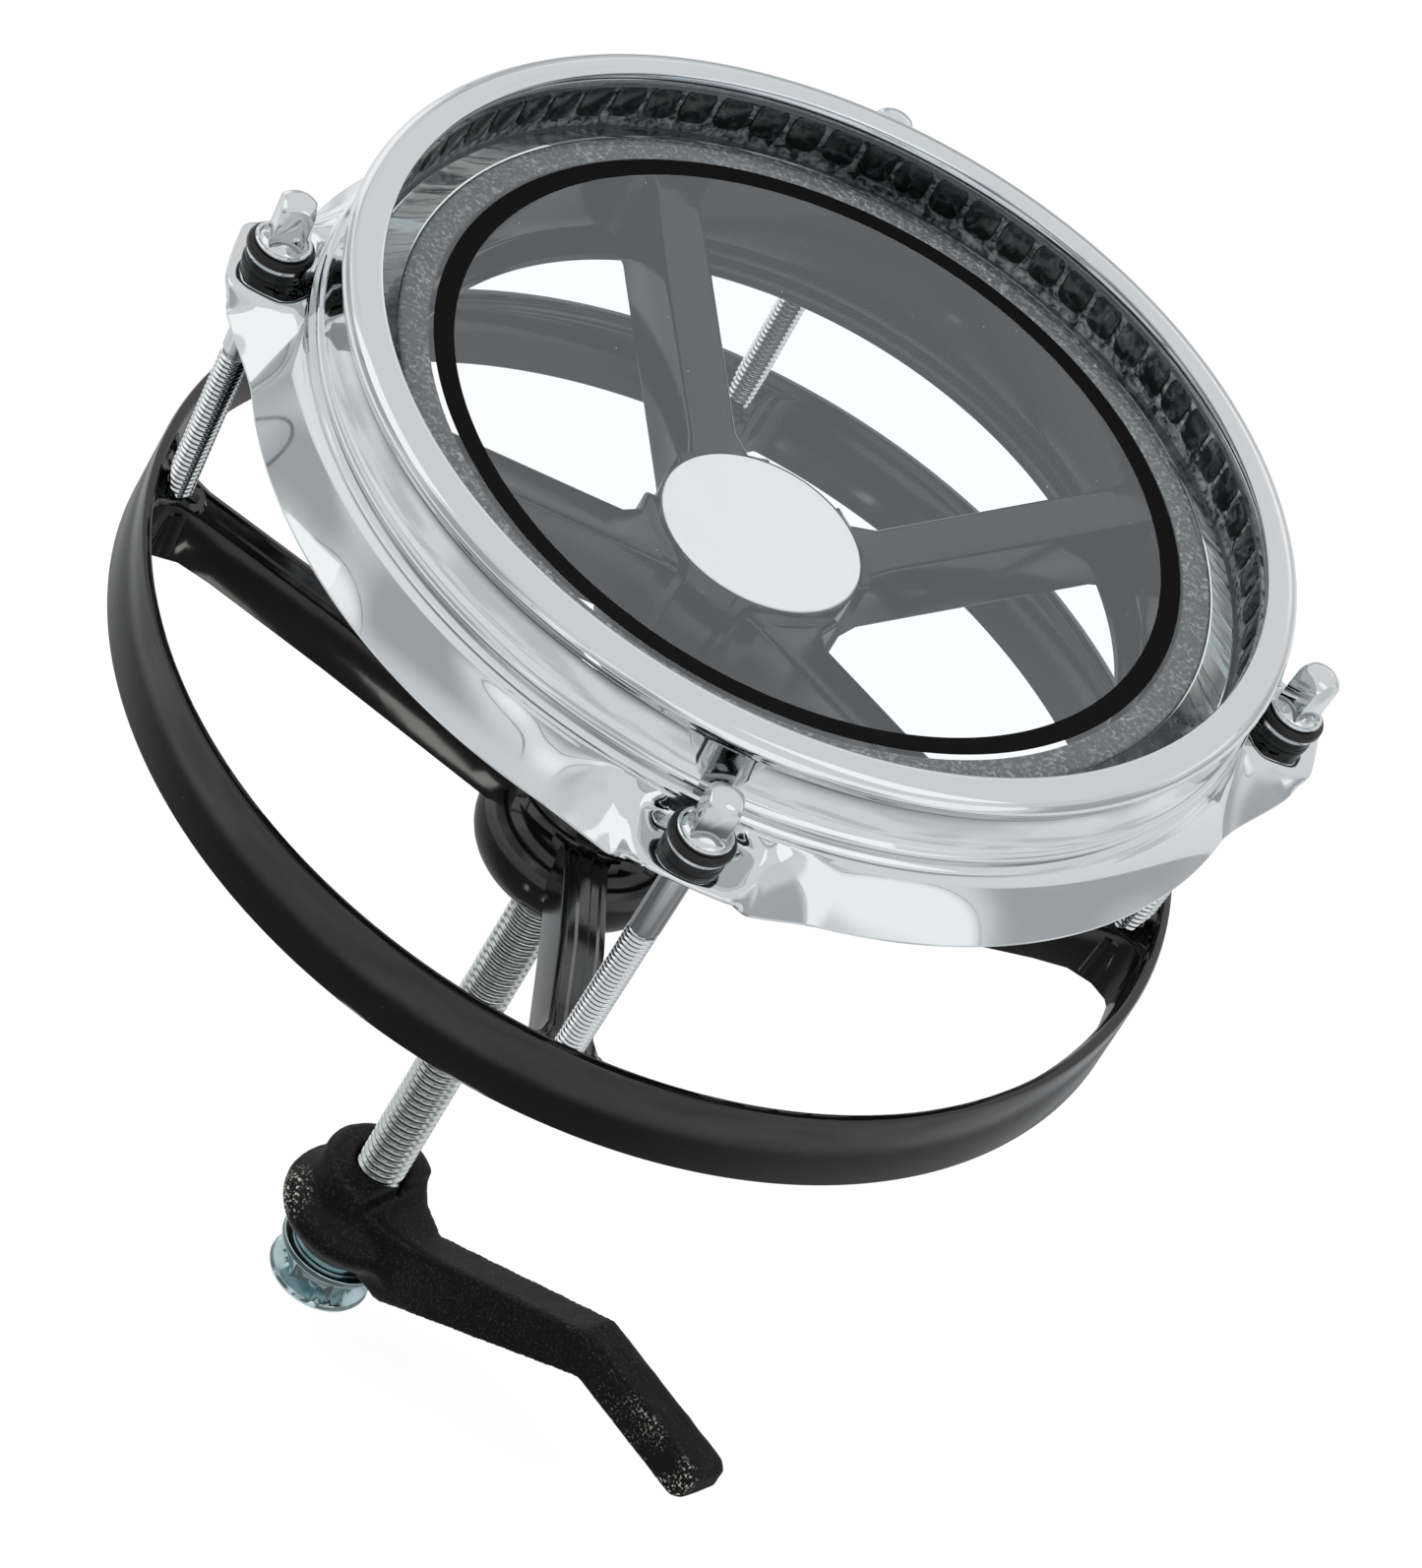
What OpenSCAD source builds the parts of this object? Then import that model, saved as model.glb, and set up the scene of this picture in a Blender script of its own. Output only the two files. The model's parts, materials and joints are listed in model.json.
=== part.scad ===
// Frame drum tuned by turning it on its spindle.
// A bearing wheel stretches a clear film. A tension wheel, threaded on the spindle,
// pulls the chromed hoop down with four leaning rods. An offset arm carries the spindle.
// +Z runs up the spindle from its foot, and +X runs along the arm's prong.

/* [Head] */
// Radius of the bearing edge that the film is stretched over
bearing_r = 76.2; // [62:0.1:100]
// Height of the film above the foot of the spindle
film_z = 225.5; // [210:0.5:260]
// Thickness of the film
film_t = 0.25; // [0.15:0.05:0.5]
// Distance from the bearing edge out to the flesh hoop
collar_reach = 6.4; // [5:0.1:9]
// Drop of the film's collar from the bearing edge to the flesh hoop
collar_drop = 5; // [3:0.5:7]
// Width of the flesh hoop's channel
flesh_w = 3.3; // [2.6:0.1:5]
// Height of the flesh hoop's channel
flesh_h = 11.5; // [9:0.5:14]
// Wall of the flesh hoop's channel
flesh_wall = 0.7; // [0.5:0.1:1]

/* [Hoop] */
// Wall of the cast hoop
hoop_wall = 1.9; // [1.5:0.1:3]
// Height of the hoop's plain wall, from its lip down to its beads
hoop_wall_h = 10; // [7:0.5:14]
// Height of the rounded roll on top of the hoop
roll_h = 3; // [2:0.5:5]
// Height of the band of beads above the skirt
bead_h = 5.5; // [4:0.5:8]
// Height of the flared skirt
skirt_h = 10.3; // [8:0.1:14]
// How far the skirt flares out past the wall
skirt_flare = 7; // [5:0.5:8]
// Radius of the boss at the end of each ear
ear_r = 7.4; // [6.5:0.1:9]
// Thickness of each ear
ear_t = 3; // [2.4:0.1:8]

/* [Tension rods] */
// Diameter of a rod's shank and thread
rod_d = 5.49; // [4:0.01:6.5]
// Distance from the hoop's wall out to a rod, at the rod's seat
rod_standoff = 8.2; // [8:0.1:12]
// How far a rod leans in between its seat and its foot
rod_lean_in = 4.3; // [2:0.1:6]
// Drop of a rod's seat below the film
rod_seat_drop = 7.5; // [5:0.5:9]
// Width across the flats of a rod's square head
rod_head_af = 5.9; // [5:0.1:6.5]
// Height of a rod's square head above its flange
rod_head_h = 6.5; // [5:0.1:9]
// Radius of a rod's flange
rod_flange_r = 5.1; // [4.8:0.1:6]
// Thickness of the soft washer under a rod's flange
rod_washer_t = 2.5; // [1.6:0.1:3.5]
// Height of the bush collar between the ear and the soft washer
bush_collar_h = 2.2; // [1.6:0.1:4]
// Azimuth of the first rod
rod_azimuth = 40.5; // [0:0.5:89.5]

/* [Bearing wheel] */
// Width of the flat ring inside the bearing edge
bearing_ring_w = 5.6; // [4:0.1:8]
// Height of the bearing wheel's rim
rim_h = 24; // [20:0.5:30]
// Wall of the bearing wheel's rim
rim_wall = 4; // [3:0.1:6]
// Radius of the bearing wheel's hub
hub_r = 19.2; // [16:0.1:24]
// Drop of the hub's badge below the film
hub_drop = 20.6; // [16:0.1:24]
// Height of the bearing wheel's hub
hub_h = 30; // [26:0.5:36]
// Radius of the plain badge on the hub
badge_r = 18.8; // [15:0.1:18.8]
// Width of the bearing wheel's spokes
spoke_w = 9.5; // [7:0.5:12]
// Depth of the bearing wheel's spokes
spoke_h = 17; // [12:0.5:18]
// Azimuth of the first spoke of the bearing wheel
spoke_azimuth = 69.5; // [0:0.5:89.5]

/* [Tension wheel] */
// Drop of the tension wheel's top edge below the film, at this tuning
wheel_drop = 61; // [56:0.5:66]
// Height of the tension wheel's rim
wheel_h = 17; // [14:0.5:20]
// Wall of the tension wheel's rim
wheel_wall = 3; // [2.5:0.1:5]
// Distance from a rod's foot out to the rim's face
boss_setback = 6.5; // [6.2:0.1:9]
// Radius of the boss that a rod's foot screws into
boss_r = 5.8; // [5:0.1:6]
// Largest radius of the tension wheel's hub
wheel_hub_r = 19.5; // [15:0.5:22]
// Height of the tension wheel's hub
wheel_hub_h = 27; // [22:0.5:32]
// Drop from the tension wheel's top edge to its hub
wheel_hub_drop = 24.5; // [22:0.5:34]
// Width of the tension wheel's spokes
wheel_spoke_w = 8.5; // [6:0.5:12]

/* [Spindle] */
// Major diameter of the spindle's thread
spindle_d = 9.525; // [8:0.005:11]
// Pitch of the spindle's thread, which is the wheel's travel for each turn
spindle_pitch = 1.5875; // [1:0.0005:2]
// Diameter of the plain journal at the spindle's top
journal_d = 8; // [6:0.1:7.9]
// Wall of the bush that the journal turns in
bush_wall = 2; // [1.5:0.1:3]
// Thickness of the pad that the spindle's top bears on
pad_t = 3; // [2:0.5:4]

/* [Arm] */
// Radius of the arm's boss round the spindle
arm_boss_r = 14.5; // [12.5:0.5:20]
// Height of the arm's boss
arm_boss_h = 16; // [12:0.5:20]
// Width of the arm
arm_w = 8.8; // [7:0.1:12]
// Reach of the arm, from the spindle to the prong's end
arm_reach = 91; // [80:0.5:110]
// Length of the level prong
prong_l = 34; // [25:0.5:45]
// Height of the prong
prong_h = 8.5; // [6:0.1:12]
// Rise of the prong's top face above the boss's shoulder
prong_rise = 22.2; // [10:0.1:30]

/* [Fasteners under the arm] */
// Width across the flats of the lock nut
nut_af = 14.3; // [13:0.1:17]
// Height of the lock nut
nut_h = 8; // [6:0.1:10]
// Radius of the lock nut's flange
nut_flange_r = 10; // [9.6:0.1:12]
// Radius of the flat washer
washer_r = 10.4; // [9:0.1:13]
// Thickness of the flat washer
washer_t = 1.6; // [1:0.1:2.5]
// Radius of the split lock washer
lock_r = 8.6; // [7:0.1:10]
// Thickness of the split lock washer
lock_t = 2.6; // [1.5:0.1:3.5]

/* [Hidden] */
$fn = 96;

// Clearances
run_gap = 0.05;      // radial, for a shaft that turns or a thread that travels
fit_gap = 0.02;      // radial, for pieces that are pressed or glued
seat_gap = 0.3;      // round the flesh hoop inside the hoop
washer_gap = 0.35;   // radial, for a washer on its bolt
cut = 1;             // how far a cutting tool runs past the face it opens

// Rods
rods = 4;
rod_r = rod_d / 2;
rod_cone_h = 2.2;
rod_rim_h = 0.8;
rod_dome_h = 1.6;
bush_sleeve_wall = 1.4;
bush_collar_r = rod_flange_r + 0.6;
rod_washer_r = rod_flange_r + 1;

// Head and hoop radii, from the bearing edge outwards
flesh_in = bearing_r + collar_reach;
flesh_out = flesh_in + flesh_w;
hoop_in = flesh_out + seat_gap;
hoop_out = hoop_in + hoop_wall;
lip_r = flesh_in - 0.2;
roll_out = hoop_out + 0.9;
skirt_r = hoop_out + 2.2;
hem_r = hoop_out + skirt_flare;
rod_top_r = hoop_out + rod_standoff;
rod_foot_r = rod_top_r - rod_lean_in;
wheel_r = rod_foot_r + boss_setback;

// Head and hoop heights
edge_z = film_z - film_t;
edge_round = 1;
flesh_z = film_z - collar_drop - flesh_wall;
lip_z = flesh_z + flesh_h;
bead_z = lip_z - hoop_wall_h;
skirt_z = bead_z - bead_h;
hem_z = skirt_z - skirt_h;
seat_z = film_z - rod_seat_drop;
film_split_r = bearing_r - edge_round;

// Bearing wheel
ring_t = 3.5;
rim_foot = 3.5;
rim_z = edge_z - rim_h;
rim_in = bearing_r - rim_wall;
badge_t = 0.8;
hub_top = film_z - hub_drop;
hub_z = hub_top - hub_h;
bush_r = journal_d / 2 + run_gap + bush_wall;
bush_flange_t = 1.5;
bush_flange_r = bush_r + 2.5;
pocket_floor = 5;
pad_z = hub_top - badge_t - pocket_floor - pad_t;

// Tension wheel
wheel_top = film_z - wheel_drop;
wheel_z = wheel_top - wheel_h;
wheel_hub_top = wheel_top - wheel_hub_drop;
wheel_hub_z = wheel_hub_top - wheel_hub_h;
wheel_mid_z = wheel_top - 0.55 * wheel_h;
rod_lean = atan(rod_lean_in / (seat_z - wheel_mid_z));
boss_top_drop = (seat_z - wheel_top) / cos(rod_lean) + 3;
rod_l = (seat_z - wheel_z) / cos(rod_lean) - 2;

// Spindle, from its foot to its top
spindle_r = spindle_d / 2;
spindle_chamfer = 0.8;
nut_z = 2 * spindle_pitch;
washer_z = nut_z + nut_h;
lock_z = washer_z + washer_t;
arm_z = lock_z + lock_t;
shoulder_z = hub_z - bush_flange_t - 2;
spindle_top = pad_z - fit_gap;

// Arm
arm_top = arm_z + arm_boss_h;
prong_top = arm_top + prong_rise;
prong_z = prong_top - prong_h;
prong_x = arm_reach - prong_l;
arm_edge = 1.2;

// Points on an arc about c, from angle a0 to angle a1
function arc(c, r, a0, a1, n = 8) =
    [for (i = [0:n]) let (a = a0 + (a1 - a0) * i / n) c + r * [cos(a), sin(a)]];

// Places its children at each of n equal turns about the spindle
module ring_of(n, start) {
    for (i = [0:n - 1]) rotate([0, 0, start + 360 * i / n]) children();
}

// Places its children on rod i's axis, with z = 0 at the seat of its flange
module on_rod(i) {
    rotate([0, 0, rod_azimuth + 360 * i / rods])
        translate([rod_top_r, 0, seat_z]) rotate([0, rod_lean, 0]) children();
}

// A plain ring
module washer(r, hole_r, t) {
    difference() {
        cylinder(r = r, h = t);
        translate([0, 0, -cut]) cylinder(r = hole_r, h = t + 2 * cut);
    }
}

// Threaded rod with a chamfered foot and a plain journal at its top
module spindle() {
    color("#c5cccb") rotate_extrude() polygon([
        [0, 0], [spindle_r - spindle_chamfer, 0], [spindle_r, spindle_chamfer],
        [spindle_r, shoulder_z - spindle_chamfer], [journal_d / 2, shoulder_z],
        [journal_d / 2, spindle_top - spindle_chamfer],
        [journal_d / 2 - spindle_chamfer, spindle_top], [0, spindle_top]
    ]);
}

// Side outline of the arm, from its boss to the end of its prong
module arm_outline() {
    polygon([
        [0, arm_z], [arm_boss_r + 2.5, arm_z], [prong_x + 3, prong_z],
        [arm_reach - arm_edge, prong_z], [arm_reach, prong_z + arm_edge],
        [arm_reach, prong_top - arm_edge], [arm_reach - arm_edge, prong_top],
        [prong_x - 1, prong_top], [arm_boss_r + 1.5, arm_top], [0, arm_top]
    ]);
}

// Cast arm: a lobed boss round the spindle and a cranked blade that ends in a prong
module mount_arm() {
    lobe_h = 4;
    color("#26262a") difference() {
        union() {
            rotate([90, 0, 0]) translate([0, 0, -arm_w / 2]) linear_extrude(arm_w) arm_outline();
            rotate_extrude() polygon(concat(
                [[0, arm_z], [arm_boss_r - 4.5, arm_z]],
                arc([arm_boss_r - 5, arm_z + 7], 5, -60, 60, 6),
                [[arm_boss_r - 4, arm_top], [0, arm_top]]
            ));
            intersection() {
                translate([0, 0, arm_top - cut]) cylinder(r = arm_boss_r - 4, h = lobe_h + cut);
                translate([-2 * arm_boss_r + spindle_r + 1, -arm_boss_r, arm_z])
                    cube([2 * arm_boss_r, 2 * arm_boss_r, arm_boss_h + lobe_h]);
            }
        }
        translate([0, 0, arm_z - cut])
            cylinder(r = spindle_r + run_gap, h = arm_boss_h + lobe_h + 2 * cut);
    }
}

// Spring washer with its cut
module lock_washer() {
    split_w = 1.2;
    color("#8aa4a8") translate([0, 0, lock_z]) difference() {
        washer(lock_r, spindle_r + washer_gap, lock_t);
        rotate([0, 0, 200]) translate([0, -split_w / 2, -cut])
            cube([lock_r + cut, split_w, lock_t + 2 * cut]);
    }
}

module flat_washer() {
    color("#a9c4c8") translate([0, 0, washer_z])
        washer(washer_r, spindle_r + washer_gap, washer_t);
}

// Hexagon lock nut with its flange on the side away from the arm
module lock_nut() {
    flange_h = 2.4;
    color("#7f9a9e") translate([0, 0, nut_z]) difference() {
        union() {
            cylinder(r = nut_af / 2 / cos(30), h = nut_h, $fn = 6);
            rotate_extrude() polygon(concat(
                [[0, 0], [nut_flange_r - 1.2, 0]],
                arc([nut_flange_r - 1.2, 1.2], 1.2, -90, 45, 4),
                [[nut_af / 2, flange_h + 0.6], [0, flange_h + 0.6]]
            ));
        }
        translate([0, 0, -cut]) cylinder(r = spindle_r + run_gap, h = nut_h + 2 * cut);
    }
}

// Disc at the end of the hub's pocket, which the spindle's top bears on
module thrust_pad() {
    color("#e8e4d6") translate([0, 0, pad_z]) cylinder(r = bush_r - fit_gap, h = pad_t);
}

// Flanged bush in the hub, which the spindle's journal turns in
module journal_bush() {
    color("#a5803c") difference() {
        union() {
            translate([0, 0, hub_z - bush_flange_t]) cylinder(r = bush_flange_r, h = bush_flange_t);
            translate([0, 0, hub_z - bush_flange_t])
                cylinder(r = bush_r - fit_gap, h = pad_z - hub_z + bush_flange_t);
        }
        translate([0, 0, hub_z - bush_flange_t - cut])
            cylinder(r = journal_d / 2 + run_gap, h = hub_h);
    }
}

// Rim section of the bearing wheel: flat ring, wall and inner foot
module bearing_rim() {
    rotate_extrude() polygon([
        [bearing_r - bearing_ring_w, edge_z], [bearing_r - edge_round, edge_z],
        [bearing_r, edge_z - edge_round], [bearing_r, rim_z],
        [rim_in - rim_foot, rim_z], [rim_in - rim_foot, rim_z + 2.5],
        [rim_in, rim_z + 4], [rim_in, edge_z - ring_t],
        [bearing_r - bearing_ring_w, edge_z - ring_t]
    ]);
}

// Spoke that climbs from the hub to the rim
module bearing_spoke() {
    foot = hub_top - 3;
    head = edge_z - ring_t;
    rotate([90, 0, 0]) translate([0, 0, -spoke_w / 2]) linear_extrude(spoke_w) polygon([
        [hub_r - 4, foot], [hub_r, foot], [rim_in + 1, head],
        [rim_in + 1, head - spoke_h], [hub_r, foot - spoke_h], [hub_r - 4, foot - spoke_h]
    ]);
}

// Cast wheel that carries the film
module bearing_wheel() {
    color("#17181b") difference() {
        union() {
            bearing_rim();
            ring_of(4, spoke_azimuth) bearing_spoke();
            translate([0, 0, hub_z]) cylinder(r = hub_r, h = hub_h);
        }
        translate([0, 0, hub_top - badge_t]) cylinder(r = badge_r + run_gap, h = badge_t + cut);
        translate([0, 0, hub_z - cut]) cylinder(r = bush_r, h = pad_z + pad_t - hub_z + cut);
    }
}

// Plain disc on top of the hub
module hub_badge() {
    color("#dfe2e2") translate([0, 0, hub_top - badge_t]) cylinder(r = badge_r, h = badge_t);
}

// Flat of the film, out to where it turns over the bearing edge
module film() {
    color([0.8, 0.83, 0.85, 0.4]) translate([0, 0, edge_z]) cylinder(r = film_split_r, h = film_t);
}

// Collar of the film, from the bearing edge down into the flesh hoop
module film_collar() {
    start = film_split_r + run_gap;
    color([0.75, 0.78, 0.8, 0.5]) rotate_extrude() polygon([
        [start, edge_z], [start, film_z], [bearing_r + 0.4, film_z - 0.5],
        [flesh_in - seat_gap, film_z - collar_drop + film_t],
        [flesh_in - seat_gap, film_z - collar_drop - film_t],
        [bearing_r + 0.15, edge_z - 0.75]
    ]);
}

// Channel that grips the edge of the film, open towards the middle
module flesh_hoop() {
    color("#8f969a") rotate_extrude() polygon([
        [flesh_in, flesh_z], [flesh_out, flesh_z], [flesh_out, lip_z], [flesh_in, lip_z],
        [flesh_in, lip_z - flesh_wall], [flesh_out - flesh_wall, lip_z - flesh_wall],
        [flesh_out - flesh_wall, flesh_z + flesh_wall], [flesh_in, flesh_z + flesh_wall]
    ]);
}

// Cast resin that fills the channel and locks the film in it
module resin_ring() {
    color("#1f2224") translate([0, 0, flesh_z + flesh_wall + fit_gap])
        washer(flesh_out - flesh_wall - fit_gap, flesh_in + 0.3,
               flesh_h - 2 * flesh_wall - 2 * fit_gap);
}

// Section of the hoop: rolled lip, wall, beads and flared skirt
function roll_points() =
    let (mid = (lip_r + roll_out) / 2, half = (roll_out - lip_r) / 2)
    [for (a = [180:-15:-15]) [mid + half * cos(a), lip_z + 0.8 + (roll_h - 0.8) * sin(a)]];

module hoop_section() {
    polygon(concat(
        [[hoop_in, lip_z], [lip_r, lip_z]],
        roll_points(),
        [[hoop_out, lip_z - 1.2], [hoop_out, bead_z], [hoop_out + 0.9, bead_z - 0.6],
         [hoop_out + 0.9, bead_z - 1.8], [hoop_out + 0.4, bead_z - 2.4],
         [hoop_out + 1.5, bead_z - 3], [hoop_out + 1.5, bead_z - 4],
         [skirt_r, skirt_z], [hem_r, hem_z], [hem_r - hoop_wall, hem_z],
         [skirt_r - hoop_wall, skirt_z - 1], [hoop_in, skirt_z + 1]]
    ));
}

// Web and boss of one ear, in line with its rod
module hoop_ear() {
    root_w = ear_r + 7;
    web_z = seat_z - rod_washer_t - bush_collar_h - ear_t;
    translate([0, 0, web_z]) linear_extrude(ear_t - 0.4) polygon([
        [hoop_in + hoop_wall / 2, -root_w], [rod_top_r, -ear_r + 0.4],
        [rod_top_r, ear_r - 0.4], [hoop_in + hoop_wall / 2, root_w]
    ]);
    translate([rod_top_r, 0, seat_z]) rotate([0, rod_lean, 0])
        translate([0, 0, -rod_washer_t - bush_collar_h - ear_t]) cylinder(r = ear_r, h = ear_t);
}

// Die-cast hoop with four ears
module hoop() {
    ear_foot = rod_washer_t + bush_collar_h + ear_t;
    window_l = skirt_h + 20;
    color("#cfd4d6") difference() {
        union() {
            rotate_extrude() hoop_section();
            ring_of(rods, rod_azimuth) hoop_ear();
        }
        for (i = [0:rods - 1]) on_rod(i) {
            translate([0, 0, -ear_foot - cut])
                cylinder(r = rod_r + run_gap + bush_sleeve_wall + fit_gap, h = ear_foot + 2 * cut);
            translate([0, 0, -ear_foot - window_l]) cylinder(r = ear_r + 1.5, h = window_l);
            translate([0, 0, -rod_washer_t - bush_collar_h])
                cylinder(r = rod_washer_r + seat_gap, h = rod_washer_t + bush_collar_h + cut);
        }
    }
}

// Flanged bushes in the ears, one for each rod
module ear_bushes() {
    color("#141416") for (i = [0:rods - 1]) on_rod(i) difference() {
        union() {
            translate([0, 0, -rod_washer_t - bush_collar_h])
                cylinder(r = bush_collar_r, h = bush_collar_h);
            translate([0, 0, -rod_washer_t - bush_collar_h - ear_t])
                cylinder(r = rod_r + run_gap + bush_sleeve_wall, h = ear_t + cut);
        }
        translate([0, 0, -rod_washer_t - bush_collar_h - ear_t - cut])
            cylinder(r = rod_r + run_gap, h = rod_washer_t + bush_collar_h + ear_t + 2 * cut);
    }
}

// Soft washers under the rods' flanges
module rod_washers() {
    color("#101011") for (i = [0:rods - 1]) on_rod(i)
        translate([0, 0, -rod_washer_t]) washer(rod_washer_r, rod_r + run_gap, rod_washer_t);
}

// Rim section of the tension wheel, with a step inside its top edge
module tension_rim() {
    rotate_extrude() polygon([
        [wheel_r, wheel_z + 0.6], [wheel_r - 0.3, wheel_top], [wheel_r - wheel_wall, wheel_top],
        [wheel_r - wheel_wall, wheel_top - 2], [wheel_r - wheel_wall - 1.2, wheel_top - 3],
        [wheel_r - wheel_wall - 1.2, wheel_top - 6], [wheel_r - wheel_wall + 0.4, wheel_top - 8],
        [wheel_r - wheel_wall + 0.4, wheel_z], [wheel_r - 0.6, wheel_z]
    ]);
}

// Spoke that drops from a rod's boss to the hub
module tension_spoke() {
    middle = (wheel_hub_r + rod_foot_r) / 2;
    rise = wheel_top - wheel_hub_top;
    rotate([90, 0, 0]) translate([0, 0, -wheel_spoke_w / 2]) linear_extrude(wheel_spoke_w) polygon([
        [wheel_hub_r - 9, wheel_hub_top - 3], [wheel_hub_r - 1, wheel_hub_top - 3],
        [middle, wheel_hub_top + rise * 0.44], [rod_foot_r, wheel_top - 4],
        [wheel_r - wheel_wall / 2, wheel_top - 4], [wheel_r - wheel_wall / 2, wheel_z + 0.5],
        [rod_foot_r - 8, wheel_z + 0.5], [middle, wheel_hub_top],
        [wheel_hub_r - 1, wheel_hub_top - 11.5], [wheel_hub_r - 9, wheel_hub_top - 11.5]
    ]);
}

// Cast wheel that is threaded on the spindle and takes the rods' feet
module tension_wheel() {
    belly = wheel_hub_h - 19;
    color("#121215") difference() {
        union() {
            tension_rim();
            ring_of(rods, rod_azimuth) tension_spoke();
            for (i = [0:rods - 1]) on_rod(i)
                translate([0, 0, -rod_l - 1]) cylinder(r = boss_r, h = rod_l + 1 - boss_top_drop);
            translate([0, 0, wheel_hub_z]) rotate_extrude() polygon(concat(
                [[0, 0], [wheel_hub_r - 8, 0], [wheel_hub_r - 6, 1.5]],
                arc([wheel_hub_r - 8, belly + 5], 8, -50, 50, 8),
                [[wheel_hub_r - 5, wheel_hub_h], [0, wheel_hub_h]]
            ));
        }
        for (i = [0:rods - 1]) on_rod(i)
            translate([0, 0, -rod_l - 2 * cut]) cylinder(r = rod_r + run_gap, h = rod_l + cut);
        translate([0, 0, wheel_hub_z - cut])
            cylinder(r = spindle_r + run_gap, h = wheel_hub_h + 2 * cut);
    }
}

// Rod with a square key head on a coned flange
module rod(i) {
    color("#c9ced0") on_rod(i) union() {
        translate([0, 0, -rod_l]) cylinder(r = rod_r, h = rod_l);
        cylinder(r = rod_flange_r, h = rod_rim_h);
        translate([0, 0, rod_rim_h])
            cylinder(r1 = rod_flange_r - 0.3, r2 = rod_head_af / 2, h = rod_cone_h - rod_rim_h);
        translate([-rod_head_af / 2, -rod_head_af / 2, rod_rim_h])
            cube([rod_head_af, rod_head_af, rod_cone_h + rod_head_h - rod_rim_h]);
        translate([0, 0, rod_cone_h + rod_head_h])
            cylinder(r1 = rod_head_af / 2, r2 = rod_head_af / 4, h = rod_dome_h);
    }
}

module rod_1() { rod(0); }
module rod_2() { rod(1); }
module rod_3() { rod(2); }
module rod_4() { rod(3); }

spindle();
mount_arm();
lock_washer();
flat_washer();
lock_nut();
thrust_pad();
bearing_wheel();
journal_bush();
hub_badge();
film();
film_collar();
flesh_hoop();
resin_ring();
hoop();
ear_bushes();
rod_washers();
tension_wheel();
rod_1();
rod_2();
rod_3();
rod_4();
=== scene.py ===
"""Looks of a small frame drum that is tuned by turning it on its threaded spindle."""

import json
import math
import bmesh
import bpy
from mathutils import Matrix, Vector, noise


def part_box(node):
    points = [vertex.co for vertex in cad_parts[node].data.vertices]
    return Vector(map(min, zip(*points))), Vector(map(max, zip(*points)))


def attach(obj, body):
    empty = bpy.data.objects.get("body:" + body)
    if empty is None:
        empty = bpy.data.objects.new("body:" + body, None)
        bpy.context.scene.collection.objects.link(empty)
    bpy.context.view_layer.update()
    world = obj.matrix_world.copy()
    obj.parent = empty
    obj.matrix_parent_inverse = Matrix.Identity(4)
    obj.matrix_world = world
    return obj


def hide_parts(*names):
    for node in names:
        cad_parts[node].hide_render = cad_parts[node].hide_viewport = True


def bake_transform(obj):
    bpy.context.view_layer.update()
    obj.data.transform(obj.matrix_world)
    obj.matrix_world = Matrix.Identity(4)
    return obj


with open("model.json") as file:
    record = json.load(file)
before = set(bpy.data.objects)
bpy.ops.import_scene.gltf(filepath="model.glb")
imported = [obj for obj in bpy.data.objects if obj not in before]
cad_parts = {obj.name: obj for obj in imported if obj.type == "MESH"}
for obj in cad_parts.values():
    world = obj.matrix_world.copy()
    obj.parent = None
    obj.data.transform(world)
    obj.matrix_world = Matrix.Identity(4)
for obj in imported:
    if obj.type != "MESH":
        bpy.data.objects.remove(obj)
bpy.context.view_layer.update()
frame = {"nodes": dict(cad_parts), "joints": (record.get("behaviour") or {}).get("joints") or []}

# --- Spindle -----------------------------------------------------------------------------
# A steel rod with a rolled coarse thread from its foot to the bearing wheel, where a plain
# turned journal begins. Clear zinc plate makes it pale and a little soft in its reflections.
MM = 0.001


def colour(code):
    """Turns an sRGB hex colour into the linear colour that shaders take."""
    parts = [int(code[i:i + 2], 16) / 255 for i in (1, 3, 5)]
    return [p / 12.92 if p <= 0.04045 else ((p + 0.055) / 1.055) ** 2.4 for p in parts] + [1.0]


def put(tree, kind, inputs, **settings):
    """Adds a shader node, then fills its inputs or links them. A Mix of colours takes them at 6 and 7."""
    node = tree.nodes.new("ShaderNode" + kind)
    for key, value in settings.items():
        setattr(node, key, value)
    for key, value in inputs.items():
        if isinstance(value, bpy.types.Node):
            value = next(socket for socket in value.outputs if socket.enabled)
        if isinstance(value, bpy.types.NodeSocket):
            tree.links.new(value, node.inputs[key])
        else:
            node.inputs[key].default_value = value
    return node


def start_material(name):
    """Gives a new material, its empty node tree and the object's own coordinates."""
    material = bpy.data.materials.new(name)
    material.use_nodes = True
    material.node_tree.nodes.clear()
    place = put(material.node_tree, "TexCoord", {}).outputs["Object"]
    return material, material.node_tree, place


def end_material(tree, shader):
    """Makes a shader the surface of its material."""
    put(tree, "OutputMaterial", {"Surface": shader})


def outline(bm, points):
    """Draws a chain of edges through points (radius, height), all in millimetres."""
    verts = [bm.verts.new((r * MM, 0, z * MM)) for r, z in points]
    return verts + [bm.edges.new(pair) for pair in zip(verts, verts[1:])]


def steps_from(r, z, *moves):
    """Points of an outline, each given as its distance out and up from one corner."""
    return [(r + out, z + up) for out, up in moves]


def turn(points, steps=192):
    """Turns an outline round Z into a closed solid. One that starts off the axis is closed first."""
    bm = bmesh.new()
    geometry = outline(bm, points + [points[0]] if points[0][0] else points)
    bmesh.ops.spin(bm, geom=geometry, cent=(0, 0, 0), axis=(0, 0, 1), dvec=(0, 0, 0),
                   angle=2 * math.pi, steps=steps, use_merge=True)
    bmesh.ops.remove_doubles(bm, verts=bm.verts, dist=0.001 * MM)
    return bm


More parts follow.
